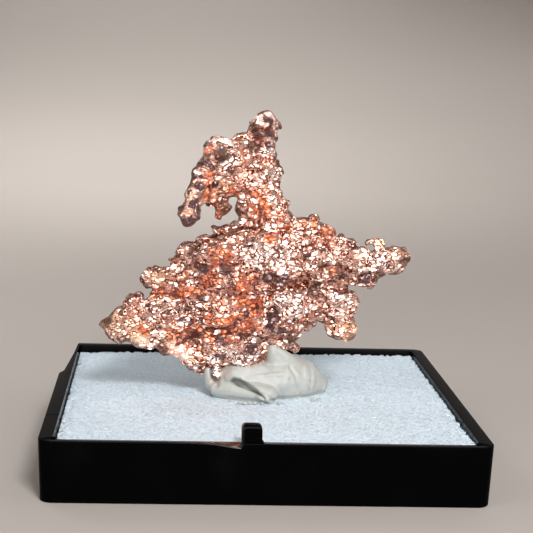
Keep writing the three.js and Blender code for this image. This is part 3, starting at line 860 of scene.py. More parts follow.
def copper_material(settings):
    """Native copper: plates of bright metal with painted highlights, painted red shade in the creases,
    orange stains, and a mauve-brown film mixed with painted shade on the sides, under the hook and in the
    pits.
    """
    material, tree, surface, place = new_material("native_copper")
    masks = {
        name: add(tree, "ShaderNodeAttribute", attribute_name=name).outputs["Fac"]
        for name in ("cavity_shade", "orange", "tarnish_and_shade", "smooth", "gold", "bright", "painted_line_shade", "side")
    }

    def compute(operation, a, b):
        """A sum, product or greatest of two values."""
        return add(tree, "ShaderNodeMath", {0: a, 1: b}, operation=operation).outputs[0]

    def turned(angle):
        """Coordinates stretched along a direction, so that the plates run that way."""
        return add(
            tree, "ShaderNodeMapping",
            {"Vector": place, "Rotation": (0, math.radians(angle), 0), "Scale": PLATE_STRETCH},
        ).outputs["Vector"]

    regions = use_group(tree, mottle_group(), {"Vector": place, "Scale": 420.0, "Low": 0.48, "High": 0.52})
    one_way, other_way = MIX_VECTORS
    grain = add(
        tree, "ShaderNodeMix",
        {MIX_FACTOR: regions["Mask"], one_way: turned(PLATE_RUNS[0]), other_way: turned(PLATE_RUNS[1])},
        data_type="VECTOR",
    ).outputs[MIX_VECTOR_OUT]
    stir = add(tree, "ShaderNodeTexNoise", {"Vector": place, "Scale": 3200.0, "Detail": 2.0})
    shift = add(
        tree, "ShaderNodeVectorMath", {0: stir.outputs["Color"], "Scale": settings.warp}, operation="SCALE"
    )
    woven = add(tree, "ShaderNodeVectorMath", {0: grain, 1: shift.outputs[0]}).outputs[0]

    rough_skin = span(tree, masks["smooth"], 0.0, 1.0, 1.0, 0.5)
    even = span(tree, masks["bright"], 0.3, 0.8, 1.0, 0.6)
    broad = use_group(
        tree, facets_group(),
        {
            "Vector": place, "Scale": 1100.0, "Tilt": compute("MULTIPLY", masks["smooth"], 0.5),
            "Normal": add(tree, "ShaderNodeNewGeometry").outputs["Normal"],
        },
    )
    plates = use_group(
        tree, facets_group(),
        {
            "Vector": woven, "Normal": broad["Normal"], "Scale": settings.plate_scale,
            "Tilt": compute("MULTIPLY", compute("MULTIPLY", rough_skin, settings.plate_tilt), even),
        },
    )
    chips = use_group(
        tree, facets_group(),
        {
            "Vector": woven, "Normal": plates["Normal"], "Scale": CHIPS * settings.plate_scale,
            "Tilt": compute("MULTIPLY", rough_skin, CHIP_TILT),
        },
    )
    folds = use_group(tree, mottle_group(), {"Vector": grain, "Scale": 4200.0, "Detail": 0.5})
    relief = compute(
        "ADD", span(tree, plates["Rim"], 0.0, 0.12, 0.0, 0.35), compute("MULTIPLY", folds["Height"], 0.9)
    )
    bump = add(
        tree, "ShaderNodeBump",
        {
            "Height": compute("MULTIPLY", relief, rough_skin), "Strength": 1.0,
            "Distance": settings.relief, "Normal": chips["Normal"],
        },
    )
    film = use_group(
        tree, mottle_group(), {"Vector": place, "Scale": 1900.0, "Low": 0.38, "High": 0.56, "Detail": 2.0}
    )

    def patchy(mask, low, high, break_up=0.8):
        """A given mask broken up by the film's grain."""
        broken = compute("ADD", mask, span(tree, film["Height"], 0.25, 0.75, -break_up, break_up))
        return span(tree, broken, low, high)

    # Painted shade: dark red in the rims between the plates, in the hollows and along the crease lines.
    crease = compute("MULTIPLY", span(tree, plates["Rim"], 0.035, 0.11, 1.0, 0.0), rough_skin)
    crease = compute("MAXIMUM", crease, span(tree, masks["cavity_shade"], 0.06, 0.2))
    crease = compute("MAXIMUM", crease, patchy(masks["painted_line_shade"], 0.35, 0.75))
    unstained = span(tree, plates["Shade"], 0.7, 0.85, 1.0, 0.2)
    stain = compute("MULTIPLY", patchy(masks["orange"], 0.25, 0.5, 0.55), unstained)
    # Tarnish film mixed with painted shade.
    dark = patchy(masks["tarnish_and_shade"], 0.45, 0.6)
    # Painted shade on the sides turned away from the front, mixed with brown film.
    brown = compute("MULTIPLY", patchy(masks["side"], 0.35, 0.75, 0.35), 0.8)

    # Painted highlight: paler copper at the listed highlight places.
    painted_highlight = patchy(masks["bright"], 0.3, 0.6)
    color = blend(tree, span(tree, plates["Shade"], 0.3, 0.7), settings.deep, settings.bright)
    color = blend(tree, span(tree, plates["Shade"], 0.08, 0.2, 0.8, 0.0), color, settings.tarnish_and_shade)
    color = blend(tree, masks["gold"], color, settings.gold)
    color = blend(tree, painted_highlight, color, settings.painted_highlight)
    color = blend(tree, stain, color, settings.orange)
    color = blend(tree, brown, color, settings.rind)
    color = blend(tree, dark, color, settings.tarnish_and_shade)
    color = blend(tree, crease, color, settings.crease)
    dull = compute("ADD", span(tree, plates["Shade"], 0.0, 1.0, 0.2, 0.5), compute("MULTIPLY", stain, 0.25))
    dull = compute("ADD", dull, compute("MULTIPLY", compute("ADD", masks["gold"], masks["smooth"]), 0.12))
    filmed = compute("MAXIMUM", compute("MAXIMUM", stain, brown), dark)
    feed(
        tree, surface, Base_Color=color, Metallic=span(tree, filmed, 0.0, 1.0, 1.0, 0.35),
        Roughness=dull, Normal=bump.outputs["Normal"],
    )
    return material


class SPECIMEN_OT_nugget(bpy.types.Operator):
    """Makes the native copper nugget"""

    bl_idname = "specimen.nugget"
    bl_label = "Copper Nugget"

    def execute(self, context):
        settings = context.scene.nugget_settings
        bm, form, facing, height = crystal_surface(settings)
        low = np.clip(0.9 - 0.6 * height / mm(settings.knob_height), 0.75, 1)
        # Painted shade on the sides turned away from the front.
        side_shade = np.clip((SIDE_FROM - np.abs(facing[:, 1])) / SIDE_FADE, 0, 1)
        brown_spots = [(x, 0, z, radius * BROWN_SPREAD) for x, z, radius in BROWN_SPOTS]
        browned = spot_mask(form * (1, 0, 1), brown_spots)
        masks = {
            # How deep each place lies in a hollow, for the painted shade there.
            "cavity_shade": cavity_of(bm, CAVITY_PASSES),
            "orange": spot_mask(form, ORANGE_SPOTS) * low,
            # Tarnish film mixed with painted shade.
            "tarnish_and_shade": spot_mask(form, TARNISH_AND_SHADE_SPOTS),
            "smooth": np.clip(CALM_GAIN * spot_mask(form, SMOOTH_SPOTS), 0, 1),
            "gold": spot_mask(form, GOLD_SPOTS),
            # Painted highlights.
            "bright": spot_mask(form, PAINTED_HIGHLIGHT_SPOTS),
            # Painted shade lines along the creases and troughs.
            "painted_line_shade": line_shade_mask(form),
            # Painted side shade, joined with the brown film spots.
            "side": np.maximum(side_shade, browned),
        }
        material = copper_material(settings)
        write_piece("copper_nugget", bm, material, "nugget", attributes=masks)
        return {"FINISHED"}


# ---------------------------------------------------------------- putty

PUTTY_VOXEL = 0.09  # grid of the putty's surface
PUTTY_FRONT = (2.5, 0.2)  # how soon a surface counts as fully in front, and its start
BACK_EASING = 60  # smoothing passes on the back and the right side, which show no folds
EASED_Y, EASED_X = -0.6, 3.2  # where those begin
SLIT_ENDS, SLIT_DEPTH, SLIT_EDGE = (-2.25, 0.55), 0.55, 0.07  # the edge is how softly it begins
# The painted shade in the slit is darkest up to this height over its floor.
SLIT_SHADE_HEIGHT = 0.35  # how high over its floor the slit stays darkest
FLAP_ENDS = ((-2.8, 0.8), (1.6, 1.2))  # where the flap ends to each side, and how softly
FLAP_HEIGHT, FLAP_REACH = 0.3, 1.3  # how far the flap over the slit stands out, and how high it goes
THUMB_FLAT, FLAT_FRONT, FLAT_BACK = 2.2, 0.1, 0.3  # size and heights of the flats left by the thumb
UNDERCUT = 0.3  # how far the foot draws in above the foam, and how deep it sinks into it
CRUMB_SQUASH, CRUMB_LIFT = (1.3, 1.0, 0.7), 0.05
# SLIT_SHADE is painted shade, the dark laid into the slit's hollow.
SMEAR_RED, SLIT_SHADE = (0.50, 0.24, 0.15), (0.10, 0.10, 0.065)

# Lumps of the putty, each (start, radius, end, radius).
PUTTY_LOBES = [
    ((-2.9, -1.6, 4.9), 0.9, (0.6, -2.9, 4.7), 0.95),
    ((-3.4, -0.6, 5.0), 0.75, (-3.1, 0.8, 4.8), 1.0),
    ((-3.95, -1.3, 6.25), 0.28, (-3.65, -1.1, 5.2), 0.62),
    ((-3.0, -1.0, 5.3), 0.7, (-2.0, -1.1, 5.9), 0.8),
    ((-1.6, -1.5, 5.55), 1.2, (1.4, -1.5, 5.6), 1.6),
    ((1.6, -0.9, 5.5), 2.0, (3.1, -0.2, 5.25), 2.0),
    ((3.3, 0.2, 5.2), 1.85, (4.6, 0.5, 4.8), 1.25),
    ((1.05, -1.75, 8.2), 0.36, (1.5, -1.2, 6.9), 1.15),
    ((1.15, -1.75, 8.1), 0.4, (1.75, -1.6, 7.8), 0.45),
    ((1.75, -1.6, 7.7), 0.5, (2.8, -1.0, 6.6), 0.85),
    ((-1.8, 1.2, 4.8), 1.7, (2.2, 1.4, 5.2), 1.8),
]
# The slit under the flap, seen from the front: its lower and upper edges as (x, z).
SLIT_FLOOR = [(-2.2, 5.62), (-1.7, 5.46), (-1.2, 5.34), (-0.5, 5.1), (0.1, 4.85), (0.6, 4.55)]
SLIT_ROOF = [(-2.2, 5.66), (-2.0, 5.92), (-1.5, 5.88), (-0.9, 5.62), (-0.3, 5.28), (0.1, 5.0), (0.6, 4.58)]
# Raised edges and sunk creases, seen from the front: points as (x, z), half width, height.
PUTTY_LINES = [
    ([(0.0, 4.78), (0.6, 4.5), (1.1, 4.1), (1.4, 3.9)], 0.2, 0.28),
    ([(0.2, 4.98), (0.8, 4.75), (1.25, 4.4), (1.8, 4.25)], 0.12, -0.22),
    ([(2.5, 6.75), (2.9, 6.2), (3.1, 5.6), (3.3, 5.0), (3.4, 4.3)], 0.14, -0.14),
    ([(2.25, 6.7), (2.65, 6.2), (2.85, 5.6)], 0.3, 0.1),
    ([(1.9, 6.0), (1.7, 5.3), (1.9, 4.5)], 0.12, -0.07),
    ([(0.9, 6.9), (1.3, 6.3), (1.5, 5.9)], 0.12, -0.07),
    ([(0.2, 6.7), (0.5, 6.4)], 0.1, -0.12),
    ([(4.1, 6.9), (4.3, 5.9), (4.2, 4.9)], 0.14, -0.08),
    ([(4.7, 6.2), (4.8, 5.4), (4.6, 4.7)], 0.14, -0.1),
    ([(-3.45, 6.1), (-3.3, 5.7), (-3.4, 5.35)], 0.26, -0.4),
    ([(-2.9, 6.0), (-1.6, 6.45), (0.2, 6.8)], 0.2, 0.1),
]
# Crumbs on the foam along the putty's foot: (x, y, radius).
CRUMBS = [
    (-1.45, -3.8, 0.15), (-1.1, -3.9, 0.2), (-0.75, -3.8, 0.14), (-0.3, -3.85, 0.17), (0.25, -3.9, 0.13),
    (1.6, -3.7, 0.14), (4.3, -2.6, 0.15), (4.75, -2.3, 0.12), (-2.2, -3.15, 0.12),
]
# Red smears from the copper: (x, y, z, radius).
SMEARS = [(-3.35, -1.7, 5.6, 0.7), (1.7, -3.3, 4.5, 0.4), (-2.6, -2.4, 6.3, 0.5), (0.7, -2.6, 7.2, 0.4)]


def putty_material(settings):
    """Matt off-white putty, with painted shade in its slit, smeared red where it touches the copper."""
    material, tree, surface, place = new_material("mounting_putty")
    soil = use_group(tree, mottle_group(), {"Vector": place, "Scale": 700.0, "Low": 0.4, "High": 0.75})
    skin = use_group(tree, mottle_group(), {"Vector": place, "Scale": 1500.0, "Detail": 3.0})
    hollow, smear = (
        add(tree, "ShaderNodeAttribute", attribute_name=name).outputs["Fac"] for name in ("hollow", "smear")
    )
    color = blend(tree, span(tree, soil["Mask"], 0, 1, 0, 0.4), settings.putty_color, settings.putty_shade)
    color = blend(tree, span(tree, smear, 0.2, 1.0, 0.0, 0.5), color, SMEAR_RED)
    # Painted shade in the slit's hollow.
    color = blend(tree, hollow, color, SLIT_SHADE)
    bump = add(tree, "ShaderNodeBump", {"Height": skin["Height"], "Strength": 0.7, "Distance": 0.00014})
    feed(tree, surface, Base_Color=color, Roughness=0.62, Normal=bump.outputs["Normal"])
    return material


def putty_form():
    """The putty's lumps run together, eased where its back and right side show no folds."""
    bm = bmesh.new()
    for start, start_radius, end, end_radius in PUTTY_LOBES:
        lobe(bm, start, start_radius, end, end_radius)
    bm = remeshed(bm, PUTTY_VOXEL)
    smooth(bm, 3)
    plain = [v for v in bm.verts if v.normal.y > 0.1 and v.co.y > EASED_Y or v.co.x > EASED_X]
    smooth(bm, BACK_EASING, verts=plain)
    return bm


def slit_edges(x):
    """Heights of the slit's lower and upper edges at places along x."""
    return (np.interp(x, *zip(*edge)) for edge in (SLIT_FLOOR, SLIT_ROOF))


def slit_mask(places, front):
    """How far every place lies inside the slit, from 0 to 1, and how much painted shade it gets there."""
    x, z = places[:, 0], places[:, 2]
    floor, roof = slit_edges(x)
    inside = np.clip(np.minimum(z - floor, roof - z) / SLIT_EDGE + 0.5, 0, 1)
    inside = inside * (x > SLIT_ENDS[0]) * (x < SLIT_ENDS[1]) * front
    return inside, inside * np.clip(1.3 - (z - floor) / SLIT_SHADE_HEIGHT, 0.5, 1)


def putty_rise(places, normals, front, inside):
    """Height of the putty's details: its slit, the flap over it, thumb flats, foot and folds."""
    x, z = places[:, 0], places[:, 2]
    _, roof = slit_edges(x)
    (left, left_fade), (right, right_fade) = FLAP_ENDS
    flap = np.clip(1 - (z - roof) / FLAP_REACH, 0, 1) * (z > roof) * np.clip((x - left) / left_fade, 0, 1)
    flap = flap * np.clip((right - x) / right_fade, 0, 1) * front
    flats = np.array([facet_height(place, THUMB_FLAT, 1.0) for place in places])
    flat_height = FLAT_FRONT * front + FLAT_BACK * (1 - front)
    near_foam = np.clip(1 - (z - FOAM_HIGH.z) / UNDERCUT, 0, 1)
    rise = FLAP_HEIGHT * flap - SLIT_DEPTH * inside + flat_height * flats * (1 - inside)
    rise -= UNDERCUT * near_foam * np.clip(1 - np.abs(normals[:, 2]), 0, 1)
    seen = places * (1, 0, 1)
    for line, half_width, height in PUTTY_LINES:
        off = line_distance(seen, [(px, 0, pz) for px, pz in line]) / (half_width * LINE_SPREAD)
        rise += height * np.clip(1 - off, 0, 1) * front
    return rise


class SPECIMEN_OT_putty(bpy.types.Operator):
    """Makes the lump of mounting putty"""

    bl_idname = "specimen.putty"
    bl_label = "Putty"

    def execute(self, context):
        bm = putty_form()
        places, normals = points_of(bm)
        front = facing_front(normals, *PUTTY_FRONT)
        inside, shaded = slit_mask(places, front)
        places = places + normals * putty_rise(places, normals, front, inside)[:, None]
        places[:, 2] = np.maximum(places[:, 2], FOAM_HIGH.z - UNDERCUT)
        place_points(bm, places)
        smooth(bm, 1, 0.4)
        for crumb_x, crumb_y, radius in CRUMBS:
            crumb = bmesh.ops.create_icosphere(bm, subdivisions=2, radius=radius)["verts"]
            bmesh.ops.scale(bm, verts=crumb, vec=CRUMB_SQUASH)
            bmesh.ops.translate(bm, verts=crumb, vec=(crumb_x, crumb_y, FOAM_HIGH.z + CRUMB_LIFT))
        places, _ = points_of(bm)
        # The painted shade of the slit; the crumbs get none.
        hollow = np.zeros(len(places))
        hollow[:len(shaded)] = shaded
        masks = {"hollow": hollow, "smear": spot_mask(places, SMEARS)}
        material = putty_material(context.scene.holder_settings)
        write_piece("putty_lump", bm, material, "putty", attributes=masks)
        return {"FINISHED"}


# ---------------------------------------------------------------- foam

FOAM_STEPS = 290  # squares along a side of the foam's top
FOAM_GAP = 0.12  # between the foam and the box's wall
FOAM_DROP, FOAM_SAG = 0.1, 0.28  # how far the top lies under the frame's, and more on the left
BEAD, GRIT, SWELL = 0.05, 0.03, 0.07  # heights of the cells, the grains and the slow waves
TORN_FROM = 0.955  # where the torn edge begins, as a part of the half width
TORN_DOWN, TORN_IN = 0.3, 0.16  # how far the torn edge sinks and draws in
GRIT_PITCH, SWELL_PITCH, TEETH_PITCHES = 7.0, 0.25, (2.6, 6)  # waves to the millimetre
# The glint colour is a painted glint: lighter cells that stand in for sparkle.
FOAM_LIGHT, FOAM_SHADE, FOAM_PAINTED_GLINT = (0.80, 0.92, 1.0), (0.56, 0.67, 0.78), (0.87, 0.95, 1.0)


def foam_material(settings):
    """White cut foam whose glinting cells get a painted glint: a lighter colour, with a lower roughness."""
    material, tree, surface, place = new_material("white_foam")
    true_normal = add(tree, "ShaderNodeNewGeometry").outputs["Normal"]
    cells = use_group(
        tree, facets_group(), {"Vector": place, "Normal": true_normal, "Scale": 7500.0, "Tilt": 0.7}
    )
    clouds = use_group(tree, mottle_group(), {"Vector": place, "Scale": 260.0, "Low": 0.3, "High": 0.7})
    color = blend(tree, span(tree, cells["Shade"], 0, 1, 0, 0.3), settings.foam_color, FOAM_LIGHT)
    color = blend(tree, span(tree, clouds["Mask"], 0, 1, 0, 0.2), color, FOAM_SHADE)
    # Painted glints: a few cells are lighter and glossier.
    glint = span(tree, cells["Shade"], 0.82, 0.88)
    color = blend(tree, glint, color, FOAM_PAINTED_GLINT)
    feed(
        tree, surface, Base_Color=color, Roughness=span(tree, glint, 0, 1, 0.6, 0.4),
        Specular_IOR_Level=0.25, Normal=cells["Normal"],
    )
    return material


def waves(x, y, pitch, layer):
    """Smooth noise on the foam's top, with its waves to the millimetre and its own layer."""
    return noise.noise(Vector((x * pitch, y * pitch, layer)))


class SPECIMEN_OT_foam(bpy.types.Operator):
    """Makes the foam insert"""

    bl_idname = "specimen.foam"
    bl_label = "Foam Insert"

    def execute(self, context):
        settings = context.scene.holder_settings
        half = SIDE / 2 - mm(settings.wall) - FOAM_GAP
        cell = mm(settings.foam_cell)
        bm = bmesh.new()
        bmesh.ops.create_grid(bm, x_segments=FOAM_STEPS, y_segments=FOAM_STEPS, size=half)
        for vert in bm.verts:
            x, y = vert.co.x, vert.co.y
            near = noise.voronoi(Vector((x, y, 0)) / cell)[0]
            bead = min(near[1] - near[0], 0.5)
            grit = waves(x, y, GRIT_PITCH, 3)
            swell = waves(x, y, SWELL_PITCH, 5)
            sag = FOAM_SAG * max(0, -x / half) ** 2
            vert.co.z = FOAM_HIGH.z - FOAM_DROP - sag + BEAD * bead + GRIT * grit + SWELL * swell
            edge = max(abs(x), abs(y)) / half
            if edge > TORN_FROM:
                torn = (edge - TORN_FROM) / (1 - TORN_FROM)
                coarse, fine = (waves(x, y, pitch, 9) for pitch in TEETH_PITCHES)
                teeth = coarse + 0.5 * fine
                vert.co.z -= TORN_DOWN * torn * max(0, teeth + 0.25)
                inward = TORN_IN * torn * max(0, teeth)
                vert.co.x -= inward * (abs(x) >= abs(y)) * math.copysign(1, x)
                vert.co.y -= inward * (abs(y) >= abs(x)) * math.copysign(1, y)
        rim = [e for e in bm.edges if e.is_boundary]
        walls = bmesh.ops.extrude_edge_only(bm, edges=rim)["geom"]
        for vert in (g for g in walls if isinstance(g, bmesh.types.BMVert)):
            vert.co.z = FOAM_LOW.z
        bmesh.ops.contextual_create(bm, geom=[e for e in bm.edges if e.is_boundary])
        bmesh.ops.recalc_face_normals(bm, faces=bm.faces)
        piece = write_piece("foam_insert", bm, foam_material(settings), "foam")
        return {"FINISHED"}


# ---------------------------------------------------------------- tray

# Sides of the box: how much narrower its foot is, its roundings and its inner floor.
FOOT_IN, FOOT_ROUND, RIM_ROUND, INNER_FLOOR = 0.28, 0.14, 0.05, 1.0
OUTER_CORNER, INNER_CORNER = 0.9, 0.4  # radius of the corners seen from above
MOUTH_DRAFT = 0.2  # how much narrower the well is at its floor
QUARTER = (0, 22.5, 45, 67.5, 90)  # the angles of a rounded edge
# The catch: width, depth, how far in from the front its middle is, its root and its top against the rim.
PEG_SIZE, PEG_IN, PEG_ROOT, PEG_TOP = (1.46, 0.92), 0.5, -0.9, 1.3
CROWN_ROUND, BROW_ROUND, PEG_ROUND = 0.34, 0.22, 0.07  # its upper corners, its front's top, the rest
SHARP = 1.2  # edges with a greater turn than this, in radians, are rounded
# Soft flares at the catch's foot: side, how far its middle lies under the rim; radius, place, shape.
FLARES = ((-1, 0.28), (1, 0.02))
FLARE_RADIUS, FLARE_OUT, FLARE_IN, FLARE_SHAPE = 0.24, 0.62, 0.42, (1.1, 1.3, 1.0)
# The mould's seam across the left rim: cuts beside it, its place and its depth.
SEAM_CUTS, SEAM_Y, SEAM_DEPTH = (-9.2, -9.07, -9.0, -8.93, -8.8), -9.0, 0.06
RIM_SLOPE = 0.12  # how far the front rim's inner edge sinks
RIM_BAND = 0.3  # the height under the rim's top in which its edges are shaped
SHADING_BREAK = 0.5  # edges with a greater turn than this, in radians, are shaded sharp
HAZE_GREY, DUST_GREY = (0.004, 0.0045, 0.005), (0.05, 0.05, 0.05)


def tray_material(settings):
    """Glossy black moulded styrene with faint flow lines, haze, specks of dust and a polished dip."""
    material, tree, surface, place = new_material("black_styrene")
    haze = use_group(tree, mottle_group(), {"Vector": place, "Scale": 260.0, "Low": 0.5, "High": 0.8})
    flow = use_group(tree, mottle_group(), {"Vector": place, "Scale": 90.0, "Detail": 1.0})
    true_normal = add(tree, "ShaderNodeNewGeometry").outputs["Normal"]
    specks = use_group(
        tree, facets_group(), {"Vector": place, "Normal": true_normal, "Scale": 420.0, "Tilt": 0.0}
    )
    near = span(tree, specks["Middle"], 0.04, 0.08, 1.0, 0.0)
    speck = add(
        tree, "ShaderNodeMath", {0: near, 1: span(tree, specks["Shade"], 0.8, 0.85)}, operation="MULTIPLY"
    ).outputs[0]
    color = blend(tree, span(tree, haze["Mask"], 0, 1, 0, 0.5), settings.tray_color, HAZE_GREY)
    color = blend(tree, speck, color, DUST_GREY)
    bump = add(tree, "ShaderNodeBump", {"Height": flow["Height"], "Strength": 0.15, "Distance": 0.0003})
    polish = add(tree, "ShaderNodeAttribute", attribute_name="polish").outputs["Fac"]
    feed(
        tree, surface, Base_Color=color, Roughness=span(tree, haze["Mask"], 0, 1, 0.12, 0.2),
        Specular_IOR_Level=0.015, Coat_Weight=polish, Coat_Roughness=0.04, Coat_IOR=1.8,
        Normal=bump.outputs["Normal"],
    )
    return material


def rounded(radius):
    """The steps of a quarter round: how far each is from its end and from its start."""
    turns = (math.radians(turn) for turn in QUARTER)
    return [(radius * (1 - math.sin(turn)), radius * (1 - math.cos(turn))) for turn in turns]


def tray_rings(side, wall, height):
    """The tray's section as rings, up the outside, over the rim and down to the inner floor."""
    foot, mouth = side - FOOT_IN, side - 2 * wall
    return [
        *((foot - 2 * inset, OUTER_CORNER - inset, rise) for inset, rise in rounded(FOOT_ROUND)),
        *((side - 2 * inset, OUTER_CORNER - inset, height - drop) for drop, inset in rounded(RIM_ROUND)),
        *((mouth + 2 * out, INNER_CORNER + out, height - drop) for out, drop in rounded(RIM_ROUND)),
        (mouth - MOUTH_DRAFT, INNER_CORNER - RIM_ROUND, INNER_FLOOR),
    ]


def slice_across(bm, axis, places):
    """Cuts new edges square to an axis at the given places."""
    normal = Vector((0, 0, 0))
    normal[axis] = 1
    for place in places:
        everything = bm.verts[:] + bm.edges[:] + bm.faces[:]
        bmesh.ops.bisect_plane(bm, geom=everything, plane_co=normal * place, plane_no=normal, dist=1e-4)


def round_edges(bm, edges, radius, steps):
    """Rounds edges with a bevel."""
    bmesh.ops.bevel(
        bm, geom=edges, offset=radius, affect="EDGES", segments=steps, profile=0.5, material=-1
    )


def catch_peg(settings):
    """The small catch that stands on the front rim, with a soft flare at each side of its foot."""
    bm = bmesh.new()
    rim, middle = mm(settings.rim_height), mm(settings.peg_x)
    root, top = rim + PEG_ROOT, rim + PEG_TOP
    for vert in bmesh.ops.create_cube(bm, size=1)["verts"]:
        vert.co.x = middle + PEG_SIZE[0] * vert.co.x
        vert.co.y = PEG_SIZE[1] * vert.co.y - SIDE / 2 + PEG_IN
        vert.co.z = root + (top - root) * (vert.co.z + 0.5)

    def above(edge, height):
        return all(v.co.z > height for v in edge.verts)

    crown = [
        e for e in bm.edges if above(e, top - 0.01) and abs(e.verts[0].co.y - e.verts[1].co.y) > 0.1
    ]
    round_edges(bm, crown, CROWN_ROUND, 7)
    brow = [
        e for e in bm.edges
        if above(e, top - CROWN_ROUND - 0.02) and all(v.co.y < -SIDE / 2 + 0.1 for v in e.verts)
        and e.calc_face_angle(0) > SHARP
    ]
    round_edges(bm, brow, BROW_ROUND, 4)
    round_edges(bm, [e for e in bm.edges if e.calc_face_angle(0) > SHARP], PEG_ROUND, 3)
    for side, drop in FLARES:
        ball = bmesh.ops.create_icosphere(bm, subdivisions=3, radius=FLARE_RADIUS)["verts"]
        bmesh.ops.scale(bm, verts=ball, vec=FLARE_SHAPE)
        place = (middle + FLARE_OUT * side, FLARE_IN - SIDE / 2, rim - drop)
        bmesh.ops.translate(bm, verts=ball, vec=place)
    return bm


# The dip in the front rim beside the catch: places along the rim, and how far its outer edge sinks.
DIP_ALONG = (-6.0, -5.0, -4.3, -3.7, -3.0, -2.4, -1.95, -1.7, -0.5, 0.6)
DIP = (0, 0.02, 0.03, 0.07, 0.18, 0.27, 0.33, 0.0, 0.0, 0.0)
# The same stretch of rim, rubbed bright: places along it, and how polished it is.
POLISH_ALONG = (-5.0, -3.7, -1.95, -1.7)
POLISH = (0, 0.6, 1.0, 0.0)
POLISH_ACROSS, POLISH_UNDER = (0.01, 0.99), 0.7  # from the front, and how far under the rim's height
# The worn left rim: places along it, and how far its outer edge has come in.
LEAN_ALONG = (4.3, 5.3, 8.7, 12.4, 14.9)
LEAN = (0, 0.34, 0.55, 0.75, 0.82)


class SPECIMEN_OT_tray(bpy.types.Operator):
    """Makes the moulded box base with its catch"""

    bl_idname = "specimen.tray"
    bl_label = "Box Base"

    def execute(self, context):
        settings = context.scene.holder_settings
        wall, height = mm(settings.wall), mm(settings.rim_height)
        bm = bmesh.new()
        loft(bm, tray_rings(SIDE, wall, height))
        slice_across(bm, 0, DIP_ALONG)
        slice_across(bm, 1, (*SEAM_CUTS, *LEAN_ALONG))
        for vert in bm.verts:
            x, y, z = vert.co
            if z < height - RIM_BAND:
                continue
            from_left, from_front = x + SIDE / 2, y + SIDE / 2
            if from_front < wall + 0.1 and abs(x) < SIDE / 2 - OUTER_CORNER:
                outward = min(max((wall - from_front) / wall, 0), 1)
                vert.co.z -= RIM_SLOPE * (1 - outward) + np.interp(x, DIP_ALONG, DIP) * outward
            if from_left < wall + 0.1 and abs(y - SEAM_Y) < 0.01:
                vert.co.z -= SEAM_DEPTH
            vert.co.x += np.interp(y, LEAN_ALONG, LEAN) * min(max(wall - from_left, 0) / wall, 1)
        bmesh.ops.recalc_face_normals(bm, faces=bm.faces)
        bm = combined(bm, catch_peg(settings), "UNION", use_self=True)
        bmesh.ops.remove_doubles(bm, verts=bm.verts, dist=1e-4)
        for edge in bm.edges:
            if len(edge.link_faces) == 2 and edge.calc_face_angle(0) > SHADING_BREAK:
                edge.smooth = False
        near, far = POLISH_ACROSS
        worn = [
            float(np.interp(x, POLISH_ALONG, POLISH))
            * (near < y + SIDE / 2 < far and z > height - POLISH_UNDER)
            for x, y, z in (v.co for v in bm.verts)
        ]
        material = tray_material(settings)
        write_piece("box_base", bm, material, "tray", attributes={"polish": worn})
        return {"FINISHED"}


# ---------------------------------------------------------------- stage

BEND_STEPS, TURN_STEPS = 12, 96  # squares up the backdrop's bend and round it
DRIFT_GREY = (0.40, 0.37, 0.34)
ROOM_COLOR = (1.0, 0.90, 0.85, 1)
TARGET = (0, 0, 12)
# Soft lights in millimetres: name, place, aim, size, radiance, spread in degrees, and whether they
# light matt surfaces and show in reflections. The cards are there for the copper to mirror.
LIGHTS = (
    ("light_main", (46, -210, 176), TARGET, (60, 60), 53.0, 180, True, False),
    ("light_card", (60, -210, 150), TARGET, (330, 230), 13.2, 180, False, True),
    ("light_low_card", (10, -240, 34), TARGET, (300, 60), 8.0, 180, False, True),
    ("light_left", (-200, -120, 120), TARGET, (130, 190), 1.6, 180, True, True),
    ("light_right", (230, -30, 110), TARGET, (120, 180), 1.4, 180, True, True),
    ("light_back", (110, 210, 160), TARGET, (200, 160), 1.2, 180, True, False),
    ("light_backdrop", (-27, 120, 150), (-20, 190, 0), (90, 90), 1.75, 72, True, False),
    ("light_far", (-12, 330, 270), (-12, 330, 30), (110, 110), 1.0, 66, True, False),
    ("light_floor", (-120, 120, 150), (-60, 60, 0), (60, 60), 1.3, 60, True, False),
)
# The camera: its place in millimetres, its pan, tilt and roll in degrees, and its film in millimetres.
CAMERA_PLACE = (-7.41, -114.66, 32.81)
CAMERA_PAN, CAMERA_TILT, CAMERA_ROLL = -3.95, 80.91, 1.92
CAMERA_FILM, CAMERA_NEAR, CAMERA_FAR = 36, 0.005, 5


def backdrop_material(settings):
    """Plain warm grey paper, with a slow drift in tone."""
    material, tree, surface, place = new_material("backdrop_paper")
    drift = use_group(tree, mottle_group(), {"Vector": place, "Scale": 3.0, "Low": 0.3, "High": 0.7})
    color = blend(tree, span(tree, drift["Mask"], 0, 1, 0, 0.1), settings.backdrop_color, DRIFT_GREY)
    feed(tree, surface, Base_Color=color, Roughness=0.9, Specular_IOR_Level=0.1)
    return material


def add_light(name, place, aim, size, radiance, spread, on_matt, in_gloss):
    """A soft light in millimetres, turned towards its aim and as bright as its radiance."""
    data = bpy.data.lights.new(name, "AREA")
    data.shape = "RECTANGLE"
    data.size, data.size_y = size[0] * MM, size[1] * MM
    data.energy = radiance * math.pi * data.size * data.size_y
    data.spread = math.radians(spread)
    light = bpy.data.objects.new(name, data)
    light.location = Vector(place) * MM
    light.rotation_euler = (Vector(aim) - Vector(place)).to_track_quat("-Z", "Y").to_euler()
    light.visible_camera = False
    light.visible_diffuse = on_matt
    light.visible_glossy = in_gloss
    bpy.context.scene.collection.objects.link(light)


